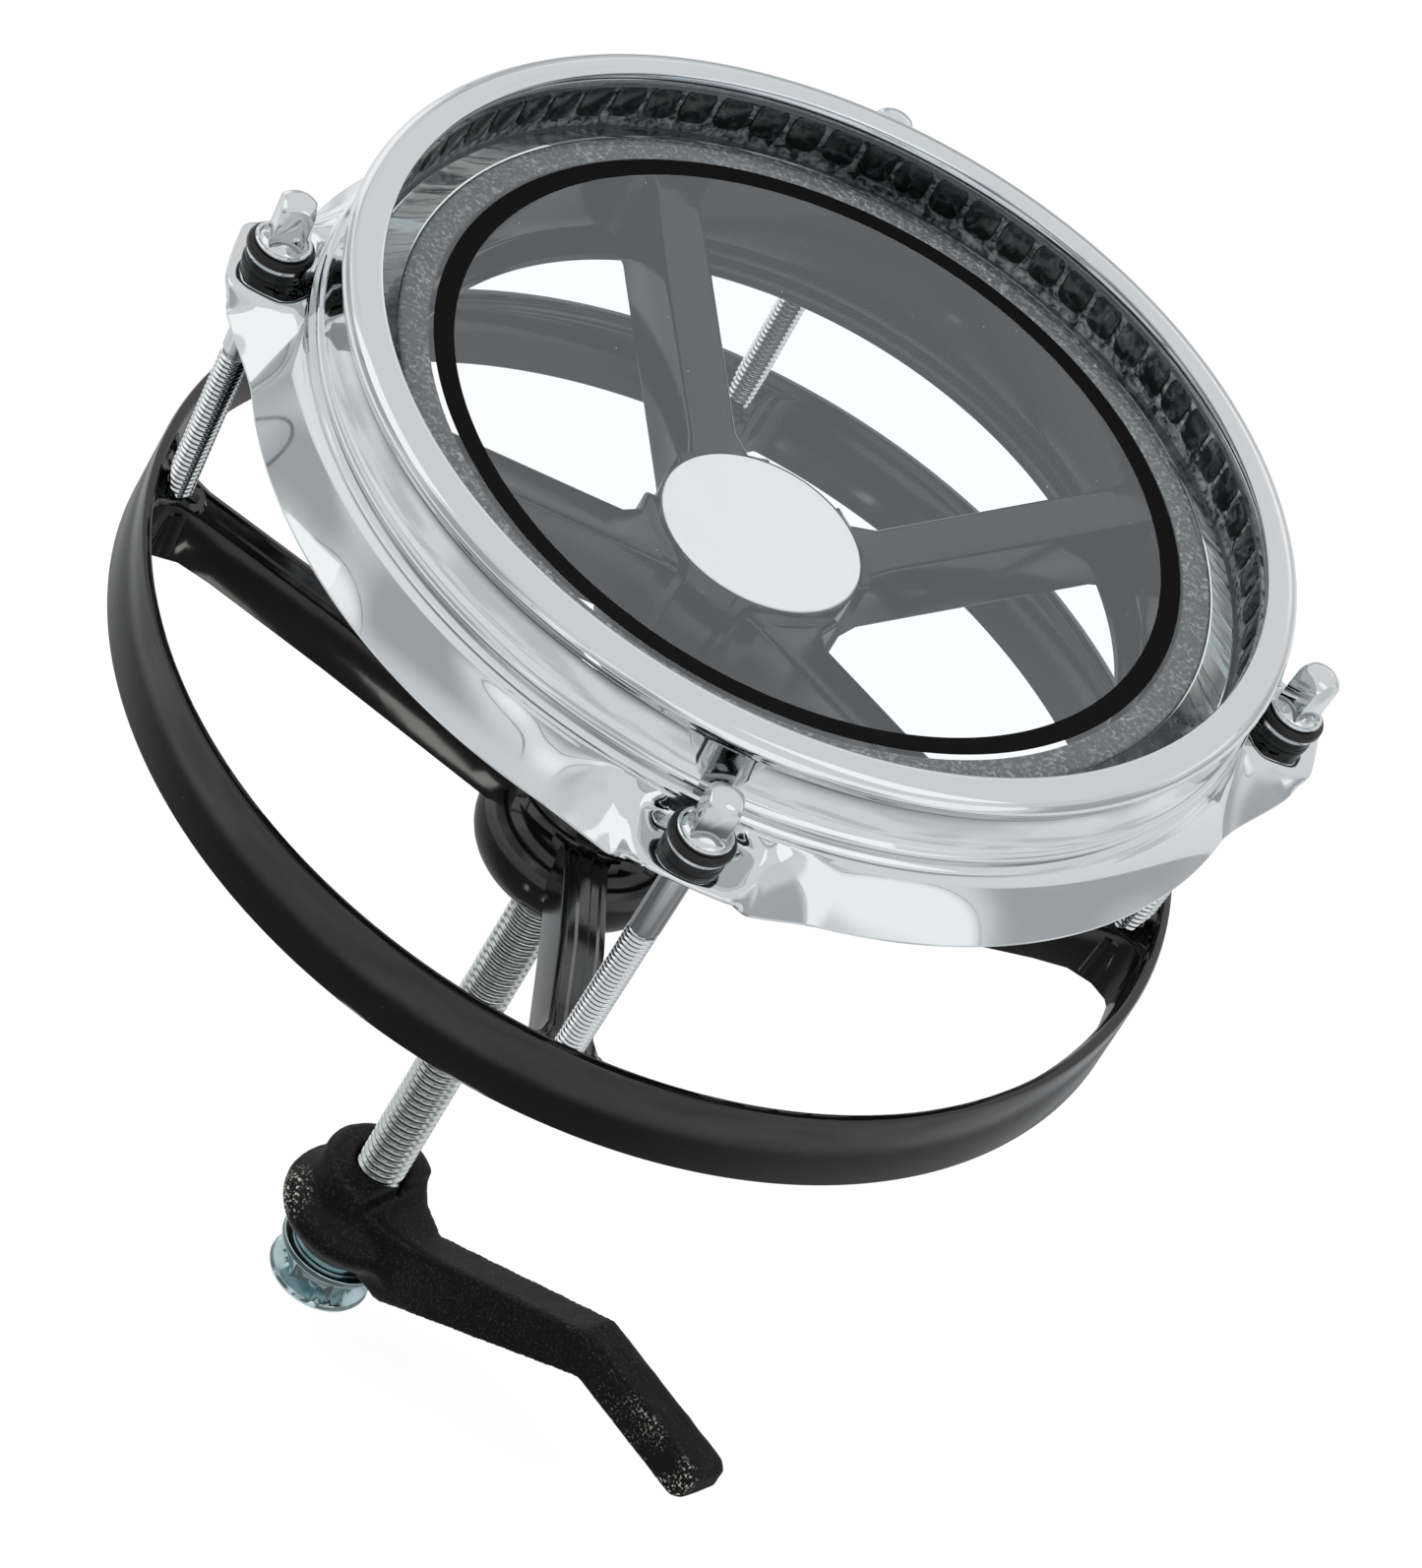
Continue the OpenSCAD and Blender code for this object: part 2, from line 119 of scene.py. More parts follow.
def soften(bm, width, segments=2, angle=30, edges=None):
    """Bevels the edges that are sharper than angle, by width in millimetres."""
    sharp = [e for e in edges or bm.edges
             if len(e.link_faces) == 2 and e.calc_face_angle(0) > math.radians(angle)]
    bmesh.ops.bevel(bm, geom=sharp, offset=width * MM, offset_type="OFFSET", segments=segments,
                    profile=0.5, affect="EDGES", material=-1, clamp_overlap=True)


def as_object(bm, name="scratch"):
    """Puts a bmesh in an object of its own."""
    mesh = bpy.data.meshes.new(name)
    bm.to_mesh(mesh)
    bm.free()
    thing = bpy.data.objects.new(name, mesh)
    bpy.context.scene.collection.objects.link(thing)
    return thing


def as_solid(bm, name="scratch"):
    """Puts a closed bmesh in an object, with its faces turned outwards."""
    bmesh.ops.recalc_face_normals(bm, faces=bm.faces)
    return as_object(bm, name)


def build(bm, name, body, materials, replaces, crease=32):
    """Closes a bmesh into a named piece that rides on its body and stands for CAD nodes."""
    piece = as_solid(bm, name)
    mesh = piece.data
    mesh.shade_smooth()
    mesh.set_sharp_from_angle(angle=math.radians(crease))
    for material in materials:
        mesh.materials.append(material)
    if body:
        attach(piece, body)
    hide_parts(*replaces)
    return piece


def whole(bm):
    """Everything in a mesh, for the operators that take it all."""
    return bm.verts[:] + bm.edges[:] + bm.faces[:]


def wind_thread(radius, pitch, low, high, chamfer, steps=26):
    """Winds a rolled thread round Z between two heights, all in millimetres."""
    bm = bmesh.new()
    root = radius - 0.58 * pitch
    flank = root + 0.3 * (radius - root)
    section = [(root, 0), (root + 0.04, 0.09), (flank, 0.19), (radius - 0.06, 0.41), (radius, 0.5),
               (radius - 0.06, 0.59), (flank, 0.81), (root + 0.04, 0.91), (root, 1)]
    start = low - 1.5 * pitch
    turns = math.ceil((high - low) / pitch) + 3
    geometry = outline(bm, [(r, start + (lap + share) * pitch) for lap in range(turns)
                            for r, share in section[:-1]])
    bmesh.ops.spin(bm, geom=geometry, cent=(0, 0, 0), axis=(0, 0, 1), dvec=(0, 0, pitch * MM / steps),
                   angle=2 * math.pi, steps=steps, use_merge=False)
    bmesh.ops.remove_doubles(bm, verts=bm.verts, dist=0.01 * MM)
    for height, side in ((low, -1), (high, 1)):
        bmesh.ops.bisect_plane(bm, geom=whole(bm), dist=0.0001 * MM,
                               plane_co=(0, 0, height * MM), plane_no=(0, 0, side), clear_outer=True)
        rim = [e for e in bm.edges if e.is_boundary
               and all(abs(v.co.z - height * MM) < 0.001 * MM for v in e.verts)]
        bmesh.ops.holes_fill(bm, edges=rim, sides=0)
    for vert in bm.verts:
        gap = min(vert.co.z / MM - low, high - vert.co.z / MM)
        limit = (radius - max(0, chamfer - gap)) * MM
        reach = math.hypot(vert.co.x, vert.co.y)
        if reach > limit:
            vert.co.x *= limit / reach
            vert.co.y *= limit / reach
    # Faces down in the grooves take the piece's second material: a darker zinc that paints shade into the
    # thread's roots.
    for part in bm.faces:
        centre = part.calc_center_median()
        part.material_index = int(abs(part.normal.z) < 0.99 and math.hypot(centre.x, centre.y) < flank * MM)
    return bm


def zinc_steel(name, light, dark, rough):
    """Zinc plate on rolled steel: bright metal whose crystals and passivation cloud it."""
    material, tree, place = start_material(name)
    cloud = put(tree, "TexNoise", {"Vector": place, "Scale": 1 / (5 * MM), "Detail": 4.0})
    tint = put(tree, "Mix", {"Factor": cloud, 6: colour(dark), 7: colour(light)}, data_type="RGBA")
    grain = put(tree, "TexNoise", {"Vector": place, "Scale": 1 / (0.5 * MM), "Detail": 2.0})
    gloss = put(tree, "MapRange", {"Value": grain, "To Min": rough * 0.7, "To Max": rough * 1.3})
    bump = put(tree, "Bump", {"Height": grain, "Strength": 0.25, "Distance": 0.01 * MM})
    end_material(tree, put(tree, "BsdfPrincipled", {
        "Base Color": tint, "Metallic": 1.0, "Roughness": gloss,
        "Normal": bump}))
    return material


clear_zinc = zinc_steel("clear_zinc_plated_steel", "#d6dbd9", "#aab1b0", 0.20)
# The thread's roots get this darker zinc as painted shade in the grooves.
thread_root_shade = zinc_steel("painted_shade_thread_root", "#5d6361", "#333736", 0.35)

spindle_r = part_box("spindle")[1].x / MM
spindle_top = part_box("spindle")[1].z / MM
spindle_pitch = 1.5875
journal_r = 4
shoulder_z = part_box("journal_bush")[0].z / MM - 2

spindle = wind_thread(spindle_r, spindle_pitch, 0, shoulder_z, chamfer=0.8)
journal = turn([(0, shoulder_z - 1), (journal_r, shoulder_z - 1), (journal_r, spindle_top - 0.8),
                (journal_r - 0.8, spindle_top), (0, spindle_top)], steps=64)


def join(target, *others):
    """Adds the shells of other bmeshes to one, and frees them."""
    for other in others:
        scratch = bpy.data.meshes.new("scratch")
        other.to_mesh(scratch)
        other.free()
        target.from_mesh(scratch)
        bpy.data.meshes.remove(scratch)
    return target


build(join(spindle, journal), "threaded_spindle", "mount",
      [clear_zinc, thread_root_shade], ["spindle"])

# --- Mounting arm ------------------------------------------------------------------------
# One rough sand casting: a lobed boss round the spindle, a cranked blade and a level prong.
# Its thick satin paint leaves the sand's grain showing, with pale flecks that are partly paint wear and
# partly painted glints.


def corners(node):
    """A CAD piece's lowest and highest corner at rest, in millimetres."""
    return [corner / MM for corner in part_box(node)]


arm_low, arm_high = corners("mount_arm")
arm_w = 8.8
arm_h = 16
prong_h = 8.5
prong_start = arm_high.x - 34
arm_top = arm_low.z + arm_h
prong_low = arm_high.z - prong_h
boss_r = -arm_low.x


def prism(points, low, high):
    """Extrudes a flat outline (x, z) along Y from low to high, all in millimetres."""
    bm = bmesh.new()
    face = bm.faces.new([bm.verts.new((x * MM, low * MM, z * MM)) for x, z in points])
    grown = bmesh.ops.extrude_face_region(bm, geom=[face])["geom"]
    bmesh.ops.translate(bm, vec=(0, (high - low) * MM, 0),
                        verts=[v for v in grown if isinstance(v, bmesh.types.BMVert)])
    return bm


def rotate(bm, degrees, axis="Z"):
    """Turns a mesh about an axis through the origin."""
    turning = Matrix.Rotation(math.radians(degrees), 3, axis)
    bmesh.ops.rotate(bm, cent=(0, 0, 0), matrix=turning, verts=bm.verts)


def applied(thing):
    """Takes an object's mesh with its modifiers applied, and removes the object."""
    bpy.context.view_layer.update()
    mesh = thing.evaluated_get(bpy.context.evaluated_depsgraph_get()).to_mesh()
    bm = bmesh.new()
    bm.from_mesh(mesh)
    bpy.data.objects.remove(thing)
    return bm


def carve(bm, cutter, operation="DIFFERENCE"):
    """Cuts, adds or keeps one solid with another, and returns the result."""
    thing, tool = as_solid(bm), as_solid(cutter)
    knife = thing.modifiers.new("carve", "BOOLEAN")
    knife.object, knife.operation, knife.solver = tool, operation, "EXACT"
    result = applied(thing)
    bpy.data.objects.remove(tool)
    return result


def cast(bm, voxel, rounds):
    """Melts a solid into one skin with blended corners, as a casting comes out of its mould."""
    thing = as_solid(bm)
    melt = thing.modifiers.new("melt", "REMESH")
    melt.mode, melt.voxel_size, melt.adaptivity = "VOXEL", voxel * MM, 0
    result = applied(thing)
    for _ in range(rounds):
        bmesh.ops.smooth_vert(result, verts=result.verts, factor=0.5, use_axis_x=True,
                              use_axis_y=True, use_axis_z=True)
    return result


arm = prism([(0, arm_low.z), (16, arm_low.z), (prong_start + 3, prong_low),
             (arm_high.x - 2.5, prong_low), (arm_high.x, prong_low + 2), (arm_high.x, arm_high.z - 1.5),
             (arm_high.x - 1.5, arm_high.z), (prong_start - 1, arm_high.z),
             (boss_r + 1.5, arm_top), (0, arm_top)], -arm_w / 2, arm_w / 2)
boss = turn([(0, arm_low.z)] + steps_from(
    boss_r, arm_low.z, (-4.8, 0), (-2.4, 2.4), (-0.6, 4.6), (0, 7), (-0.6, 9.2), (-2.4, 10.8),
    (-3.4, 12)) + [(boss_r - 3.6, arm_top), (0, arm_top)], steps=96)
arm = carve(arm, boss, "UNION")
neck = prism([(-2, -boss_r + 3.8), (boss_r + 2, -arm_w / 2), (boss_r + 2, arm_w / 2), (-2, boss_r - 3.8)],
             -arm_top, -arm_low.z - 5)
rotate(neck, -90, "X")
arm = carve(arm, neck, "UNION")
collar = turn([(0, arm_top - 1), (boss_r - 3.6, arm_top - 1), (boss_r - 3.7, arm_top + 2.6),
               (boss_r - 5, arm_top + 4), (0, arm_top + 4)], steps=96)
bmesh.ops.bisect_plane(collar, geom=whole(collar), dist=0,
                       plane_co=((spindle_r + 0.9) * MM, 0, 0), plane_no=(1, 0.1, 0), clear_outer=True)
bmesh.ops.holes_fill(collar, edges=[e for e in collar.edges if e.is_boundary], sides=0)
arm = carve(arm, collar, "UNION")
bore = turn([(0, arm_low.z - 5), (spindle_r + 0.35, arm_low.z - 5), (spindle_r + 0.35, arm_top + 9),
             (0, arm_top + 9)], steps=64)
arm = cast(carve(arm, bore), voxel=0.7, rounds=4)
for vert in arm.verts:
    lump = noise.noise(vert.co / (3.5 * MM)) * 0.10 + noise.noise(vert.co / (1.1 * MM)) * 0.05
    vert.co += vert.normal * lump * MM


def cast_paint():
    """Satin black paint over sand-cast iron: dull pitted grain, with pale flecks, partly paint wear and
    partly painted glints, densest on the prong's -Y side and at one spot on the boss.
    """
    material, tree, place = start_material("satin_paint_on_sand_cast_iron")
    grit = put(tree, "TexNoise", {"Vector": place, "Scale": 1 / (0.9 * MM), "Detail": 4.0, "Roughness": 0.6})
    pits = put(tree, "TexVoronoi", {"Vector": place, "Scale": 1 / (1.1 * MM)})
    dents = put(tree, "MapRange", {"Value": pits, "From Min": 0.0, "From Max": 0.45})
    height = put(tree, "Math", {0: grit, 1: dents}, operation="ADD")
    bump = put(tree, "Bump", {"Height": height, "Strength": 0.5, "Distance": 0.1 * MM})
    spread = put(tree, "TexNoise", {"Vector": place, "Scale": 1 / (11 * MM), "Detail": 2.0})
    patchy = put(tree, "MapRange", {"Value": spread, "From Min": 0.36, "From Max": 0.54})
    apart = put(tree, "SeparateXYZ", {0: place})
    outward = put(tree, "MapRange", {"Value": apart.outputs[0], "From Min": 64 * MM, "From Max": 84 * MM})
    sideways = put(tree, "MapRange", {"Value": apart.outputs[1], "From Min": -2 * MM, "From Max": -4 * MM})
    prong = put(tree, "Math", {0: outward, 1: sideways}, operation="MULTIPLY")
    fleck_spot = (-8 * MM, -12 * MM, 22 * MM)
    bulge = put(tree, "VectorMath", {0: place, 1: fleck_spot}, operation="DISTANCE")
    fleck_spot_mask = put(tree, "MapRange", {"Value": bulge, "From Min": 7.5 * MM, "From Max": 3 * MM})
    wear_and_glint_places = put(tree, "Math", {0: prong, 1: fleck_spot_mask}, operation="MAXIMUM")
    wear_and_glint_amount = put(tree, "MapRange", {"Value": wear_and_glint_places, "To Min": 0.035, "To Max": 1.0})
    wear_and_glint_patches = put(tree, "Math", {0: patchy, 1: wear_and_glint_amount}, operation="MULTIPLY")
    # Pale flecks in a light base colour, partly paint wear and partly painted glints: faint all over,
    # densest on the prong's -Y side and at one spot on the boss.
    fleck = put(tree, "TexNoise", {"Vector": place, "Scale": 1 / (0.55 * MM), "Detail": 2.0})
    wear_and_glint_flecks = put(tree, "MapRange", {"Value": fleck, "From Min": 0.57, "From Max": 0.65})
    wear_and_painted_glint = put(tree, "Math", {0: wear_and_glint_flecks, 1: wear_and_glint_patches}, operation="MULTIPLY")
    gloss = put(tree, "MapRange", {"Value": wear_and_painted_glint, "To Min": 0.5, "To Max": 0.22})
    dark = put(tree, "Mix", {"Factor": grit, 6: colour("#020202"), 7: colour("#070708")}, data_type="RGBA")
    tint = put(tree, "Mix", {"Factor": wear_and_painted_glint, 6: dark, 7: colour("#b4b1a8")}, data_type="RGBA")
    end_material(tree, put(tree, "BsdfPrincipled", {
        "Base Color": tint, "Roughness": gloss, "IOR": 1.45,
        "Specular IOR Level": 0.2, "Normal": bump}))
    return material


build(arm, "cast_arm", "mount", [cast_paint()], ["mount_arm"], crease=180)

# --- Fasteners under the arm ---------------------------------------------------------------
# A split spring washer, a plain washer and a flanged hexagon nut lock the arm on the spindle.
# All three are steel with blue-passivated zinc, which gives a cold watery tint.
blue_zinc = zinc_steel("blue_passivated_zinc", "#bfd0d3", "#86a0a5", 0.17)

lock_low, lock_high = corners("lock_washer")
hole_r = spindle_r + 0.35
coil_rise = 0.5
ring_h = lock_high.z - lock_low.z - coil_rise
spring = bmesh.new()
wire = [(hole_r, lock_low.z), (lock_high.x, lock_low.z),
        (lock_high.x, lock_low.z + ring_h), (hole_r, lock_low.z + ring_h)]
face = spring.faces.new([spring.verts.new((r * MM, 0, z * MM)) for r, z in wire])
bmesh.ops.spin(spring, geom=[face], cent=(0, 0, 0), axis=(0, 0, 1), dvec=(0, 0, coil_rise * MM / 90),
               angle=math.radians(350), steps=90, use_merge=False)
soften(spring, 0.25)
rotate(spring, 205)
build(spring, "spring_washer", "mount", [blue_zinc], ["lock_washer"])

flat_low, flat_high = corners("flat_washer")
plain = turn([(hole_r, flat_low.z), (flat_high.x, flat_low.z), (flat_high.x, flat_high.z),
              (hole_r, flat_high.z)], steps=96)
soften(plain, 0.3, 3)
build(plain, "plain_washer", "mount", [blue_zinc], ["flat_washer"])

nut_low, nut_high = corners("lock_nut")
nut_af = 14.3
nut_h = nut_high.z - nut_low.z
nut_corner = nut_af / 2 / math.cos(math.radians(30))
hexagon = bmesh.new()
bmesh.ops.create_cone(hexagon, cap_ends=True, segments=6, radius1=nut_corner * MM, radius2=nut_corner * MM,
                      depth=nut_h * MM, matrix=Matrix.Translation((0, 0, (nut_low.z + nut_h / 2) * MM)))
crown = turn([(0, nut_low.z - 1), (nut_corner + 2, nut_low.z - 1), (nut_corner + 2, nut_high.z - 2.2),
              (nut_corner - 1.6, nut_high.z + 0.001), (0, nut_high.z + 0.001)], steps=96)
hexagon = carve(hexagon, crown, "INTERSECT")
flange = turn([(0, nut_low.z)]
              + steps_from(nut_high.x, nut_low.z, (-1.2, 0), (-0.3, 0.4), (0, 1.1), (-0.4, 1.9))
              + [(nut_af / 2, nut_low.z + 3), (0, nut_low.z + 3)], steps=96)
nut = carve(hexagon, flange, "UNION")
bore = turn([(0, nut_low.z - 1), (spindle_r + 1.2, nut_low.z - 1), (spindle_r + 0.05, nut_low.z + 0.4),
             (spindle_r + 0.05, nut_high.z - 0.4), (spindle_r + 1.2, nut_high.z + 1), (0, nut_high.z + 1)],
            steps=64)
nut = carve(nut, bore)
soften(nut, 0.18, 2, 24)
build(nut, "flanged_lock_nut", "mount", [blue_zinc], ["lock_nut"], crease=40)

# --- Bearings in the hub -------------------------------------------------------------------
# A flanged sintered bush guides the spindle's journal, and an acetal pad takes its end.
# Both are plain pressed-in parts, so they keep the shapes that they are made to.


def dress(node, material):
    """Gives a carried-over piece its finish."""
    mesh = frame["nodes"][node].data
    mesh.materials.clear()
    mesh.materials.append(material)


def grainy(name, light, dark, size, rough, metal=0.0, relief=(0.3, 0.02), specular=0.5):
    """A fine-grained solid, such as pressed bronze powder, moulded plastic or card."""
    material, tree, place = start_material(name)
    grain = put(tree, "TexNoise", {"Vector": place, "Scale": 1 / (size * MM), "Detail": 3.0})
    tint = put(tree, "Mix", {"Factor": grain, 6: colour(dark), 7: colour(light)}, data_type="RGBA")
    bump = put(tree, "Bump", {"Height": grain, "Strength": relief[0], "Distance": relief[1] * MM})
    end_material(tree, put(tree, "BsdfPrincipled", {
        "Base Color": tint, "Metallic": metal, "Roughness": rough, "Specular IOR Level": specular,
        "Normal": bump}))
    return material


dress("journal_bush", grainy("sintered_bronze", "#c79a58", "#8a6230", 0.3, 0.38, 1.0))
dress("thrust_pad", grainy("natural_acetal", "#e9e5d8", "#d8d3c3", 1.0, 0.35))

# --- Bearing wheel -------------------------------------------------------------------------
# A die-cast wheel: a tall hub, four deep spokes and a rim whose flat top edge carries the film.
# Gloss black enamel covers it all but the edge, which is machined bare and scuffed by the film.


def gloss_enamel(name):
    """Stoved black enamel on a die casting: wet gloss with a faint orange peel and dust."""
    material, tree, place = start_material(name)
    peel = put(tree, "TexNoise", {"Vector": place, "Scale": 1 / (2.6 * MM), "Detail": 1.0})
    dust = put(tree, "TexVoronoi", {"Vector": place, "Scale": 1 / (5 * MM)})
    speck = put(tree, "MapRange", {"Value": dust, "From Min": 0.022, "From Max": 0.016})
    tint = put(tree, "Mix", {"Factor": speck, 6: colour("#070708"), 7: colour("#5a5a58")}, data_type="RGBA")
    smear = put(tree, "TexNoise", {"Vector": place, "Scale": 1 / (18 * MM), "Detail": 2.0})
    gloss = put(tree, "MapRange", {"Value": smear, "To Min": 0.05, "To Max": 0.16})
    bump = put(tree, "Bump", {"Height": peel, "Strength": 0.35, "Distance": 0.03 * MM})
    end_material(tree, put(tree, "BsdfPrincipled", {
        "Base Color": tint, "Roughness": gloss, "IOR": 1.5,
        "Normal": bump}))
    return material


def scuffed_edge_and_glints():
    """Machined aluminium under clear film: grey, with fine turning lines and grit, and near-white specks
    that are painted glints.
    """
    material, tree, place = start_material("machined_bearing_edge")
    apart = put(tree, "SeparateXYZ", {0: place})
    squares = [put(tree, "Math", {0: apart.outputs[i], 1: apart.outputs[i]}, operation="MULTIPLY")
               for i in (0, 1)]
    total = put(tree, "Math", {0: squares[0], 1: squares[1]}, operation="ADD")
    radius = put(tree, "Math", {0: total, 1: 0.5}, operation="POWER")
    lines = put(tree, "TexNoise", {"W": radius, "Scale": 1 / (0.25 * MM), "Detail": 2.0},
                noise_dimensions="1D")
    grit = put(tree, "TexNoise", {"Vector": place, "Scale": 1 / (0.8 * MM), "Detail": 4.0, "Roughness": 0.7})
    cloud = put(tree, "TexNoise", {"Vector": place, "Scale": 1 / (9 * MM), "Detail": 2.0})
    # Near-white specks where the grit pattern peaks: painted glints of light on the metal.
    glint_specks = put(tree, "MapRange", {"Value": grit, "From Min": 0.5, "From Max": 0.72})
    mixed = put(tree, "Math", {0: glint_specks, 1: cloud}, operation="MULTIPLY")
    tint = put(tree, "Mix", {"Factor": mixed, 6: colour("#3d4244"), 7: colour("#e6e9ea")}, data_type="RGBA")
    height = put(tree, "Math", {0: lines, 1: grit}, operation="ADD")
    bump = put(tree, "Bump", {"Height": height, "Strength": 0.5, "Distance": 0.03 * MM})
    end_material(tree, put(tree, "BsdfPrincipled", {
        "Base Color": tint, "Metallic": 0.55, "Roughness": 0.48, "Normal": bump}))
    return material


enamel = gloss_enamel("gloss_black_enamel")
wheel_low, wheel_high = corners("bearing_wheel")
hub_low, hub_top = wheel_low.z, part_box("hub_badge")[1].z / MM
edge_z = wheel_high.z
bearing_r = 76.2
flat_in = bearing_r - 5.6
rim_low = edge_z - 24
wall_in = bearing_r - 4
hub_r = 19.2
badge_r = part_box("hub_badge")[1].x / MM
badge_t = 0.8
pad_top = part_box("thrust_pad")[1].z / MM
bush_r = 6.05
ring_t = 3.5
spoke_start = 69.5

edge_foot = edge_z - ring_t
bearing_wheel = turn(
    [(flat_in, edge_z - 0.3), (flat_in + 0.3, edge_z)]
    + steps_from(bearing_r, edge_z, (-1, 0), (-0.5, -0.13), (-0.13, -0.5), (0, -1))
    + [(bearing_r, rim_low + 0.5), (bearing_r - 0.5, rim_low)]
    + steps_from(wall_in, rim_low, (-3, 0), (-3.5, 0.5), (-3.5, 2), (-3, 2.6), (-1, 3.2), (-0.2, 4.6),
                 (0, 6))
    + steps_from(wall_in, edge_foot, (0, -1.2), (-0.4, -0.3), (-1, 0))
    + [(flat_in + 0.3, edge_foot), (flat_in, edge_foot + 0.4)], steps=256)
hub = turn(
    [(0, pad_top), (bush_r, pad_top), (bush_r, hub_low)]
    + steps_from(hub_r, hub_low, (-1.4, 0), (-0.4, 0.4), (0, 1.4))
    + steps_from(hub_r, hub_top, (0, -0.5), (-0.12, -0.12))
    + [(badge_r + 0.05, hub_top), (badge_r + 0.05, hub_top - badge_t), (0, hub_top - badge_t)])


def fillet(distance, reach):
    """How far a root spreads at a distance from the wall that it grows out of."""
    if distance >= reach:
        return 0
    return reach - math.sqrt(reach ** 2 - (reach - max(distance, 0)) ** 2)


def spoke(section, inner, outer, low, high, width, root, tip, count=9, lift=0.45, sink=0.55):
    """Draws out a spoke along X. low and high give its height at each x, in millimetres."""
    spread = [0.5 - 0.5 * math.cos(math.pi * i / count) for i in range(count + 1)]
    places = [inner - 2] + [inner + (outer - inner) * share for share in spread] + [outer + 1]
    bm, front = bmesh.new(), None
    for x in places:
        extra = fillet(x - inner, root) + fillet(outer - x, tip)
        bottom, top = low(x) - extra * sink, high(x) + extra * lift
        wide = width + 1.5 * extra
        spots = [Vector((x, u * wide, bottom + v * (top - bottom))) * MM for u, v in section]
        if front is None:
            front = bm.faces.new([bm.verts.new(spot) for spot in spots])
            continue
        old = front
        grown = bmesh.ops.extrude_face_region(bm, geom=[old])["geom"]
        front = [f for f in grown if isinstance(f, bmesh.types.BMFace)][0]
        if x > places[1]:
            bmesh.ops.delete(bm, geom=[old], context="FACES_ONLY")
        for vert, spot in zip(front.verts, spots):
            vert.co = spot
    return bm


def long_edges(bm):
    """The edges that run along a spoke."""
    return [e for e in bm.edges if abs(e.verts[0].co.x - e.verts[1].co.x) > 0.05 * MM]


def spread_round(bm, count, start):
    """Repeats a mesh at equal turns about the spindle."""
    rotate(bm, start)
    bmesh.ops.spin(bm, geom=whole(bm), cent=(0, 0, 0), axis=(0, 0, 1),
                   dvec=(0, 0, 0), angle=2 * math.pi * (count - 1) / count, steps=count - 1,
                   use_duplicate=True, use_merge=False)


def line_through(x0, z0, x1, z1):
    """A straight line's height at any x."""
    return lambda x: z0 + (z1 - z0) * (x - x0) / (x1 - x0)


spoke_foot = hub_top - 3.4
spoke_head = edge_foot - 0.6
spoke_h = 16.4
box_section = [(-0.5, 0), (0.5, 0), (0.5, 1), (-0.5, 1)]
arm_of_wheel = spoke(box_section, hub_r, wall_in,
                     line_through(hub_r, spoke_foot - spoke_h, wall_in, spoke_head - spoke_h),
                     line_through(hub_r, spoke_foot, wall_in, spoke_head), width=9.5, root=6, tip=5)
soften(arm_of_wheel, 1.5, 4, 30, long_edges(arm_of_wheel))
spread_round(arm_of_wheel, 4, spoke_start)
join(bearing_wheel, hub, arm_of_wheel)
for part in bearing_wheel.faces:
    middle = part.calc_center_median()
    part.material_index = int(middle.z > (edge_z - 0.6) * MM)
build(bearing_wheel, "bearing_wheel_casting", "bearing_frame", [enamel, scuffed_edge_and_glints()],
      ["bearing_wheel"])

# --- Hub badge -----------------------------------------------------------------------------
# A plain printed disc of off-white card under clear lacquer, let into the top of the hub.
badge = turn([(0, hub_top - badge_t), (badge_r, hub_top - badge_t), (badge_r, hub_top - 0.3),
              (badge_r - 0.3, hub_top), (0, hub_top)], steps=192)
# Printed card under lacquer: flat off-white with the slightest mottle.
card = grainy("lacquered_card", "#e4e5e4", "#dcdedd", 7, 0.42, relief=(0.2, 0.03), specular=0.35)
build(badge, "plain_hub_badge", "bearing_frame", [card], ["hub_badge"])

# --- Film ----------------------------------------------------------------------------------
# One clear polyester film: flat over the bearing edge, then drawn down as a collar into the
# flesh hoop. A plain black ring is printed on it, and its tight collar is finely wrinkled.


def clear_film():
    """Biaxial polyester film: it mirrors the room faintly and lets the rest through."""
    material, tree, place = start_material("clear_polyester_film")
    wave = put(tree, "TexNoise", {"Vector": place, "Scale": 1 / (30 * MM), "Detail": 1.0})
    bump = put(tree, "Bump", {"Height": wave, "Strength": 0.2, "Distance": 0.2 * MM})
    mirror = put(tree, "Fresnel", {"IOR": 1.52, "Normal": bump})
    inside = put(tree, "NewGeometry", {}).outputs["Backfacing"]
    both_faces = put(tree, "Math", {0: inside, 1: -1.7, 2: 1.7}, operation="MULTIPLY_ADD")
    share = put(tree, "Math", {0: mirror, 1: both_faces}, operation="MULTIPLY")
    through = put(tree, "BsdfTransparent", {"Color": colour("#fbfcfc")})
    shine = put(tree, "BsdfGlossy", {"Color": colour("#e9f1f8"), "Roughness": 0.02, "Normal": bump})
    dust = put(tree, "TexVoronoi", {"Vector": place, "Scale": 1 / (6 * MM)})
    speck = put(tree, "MapRange", {"Value": dust, "From Min": 0.026, "From Max": 0.02,
                                   "To Min": 0.004, "To Max": 0.35})
    clear = put(tree, "MixShader", {"Fac": share, 1: through, 2: shine})
    haze = put(tree, "BsdfDiffuse", {"Color": colour("#e8ebec")})
    end_material(tree, put(tree, "MixShader", {"Fac": speck, 1: clear, 2: haze}))
    return material


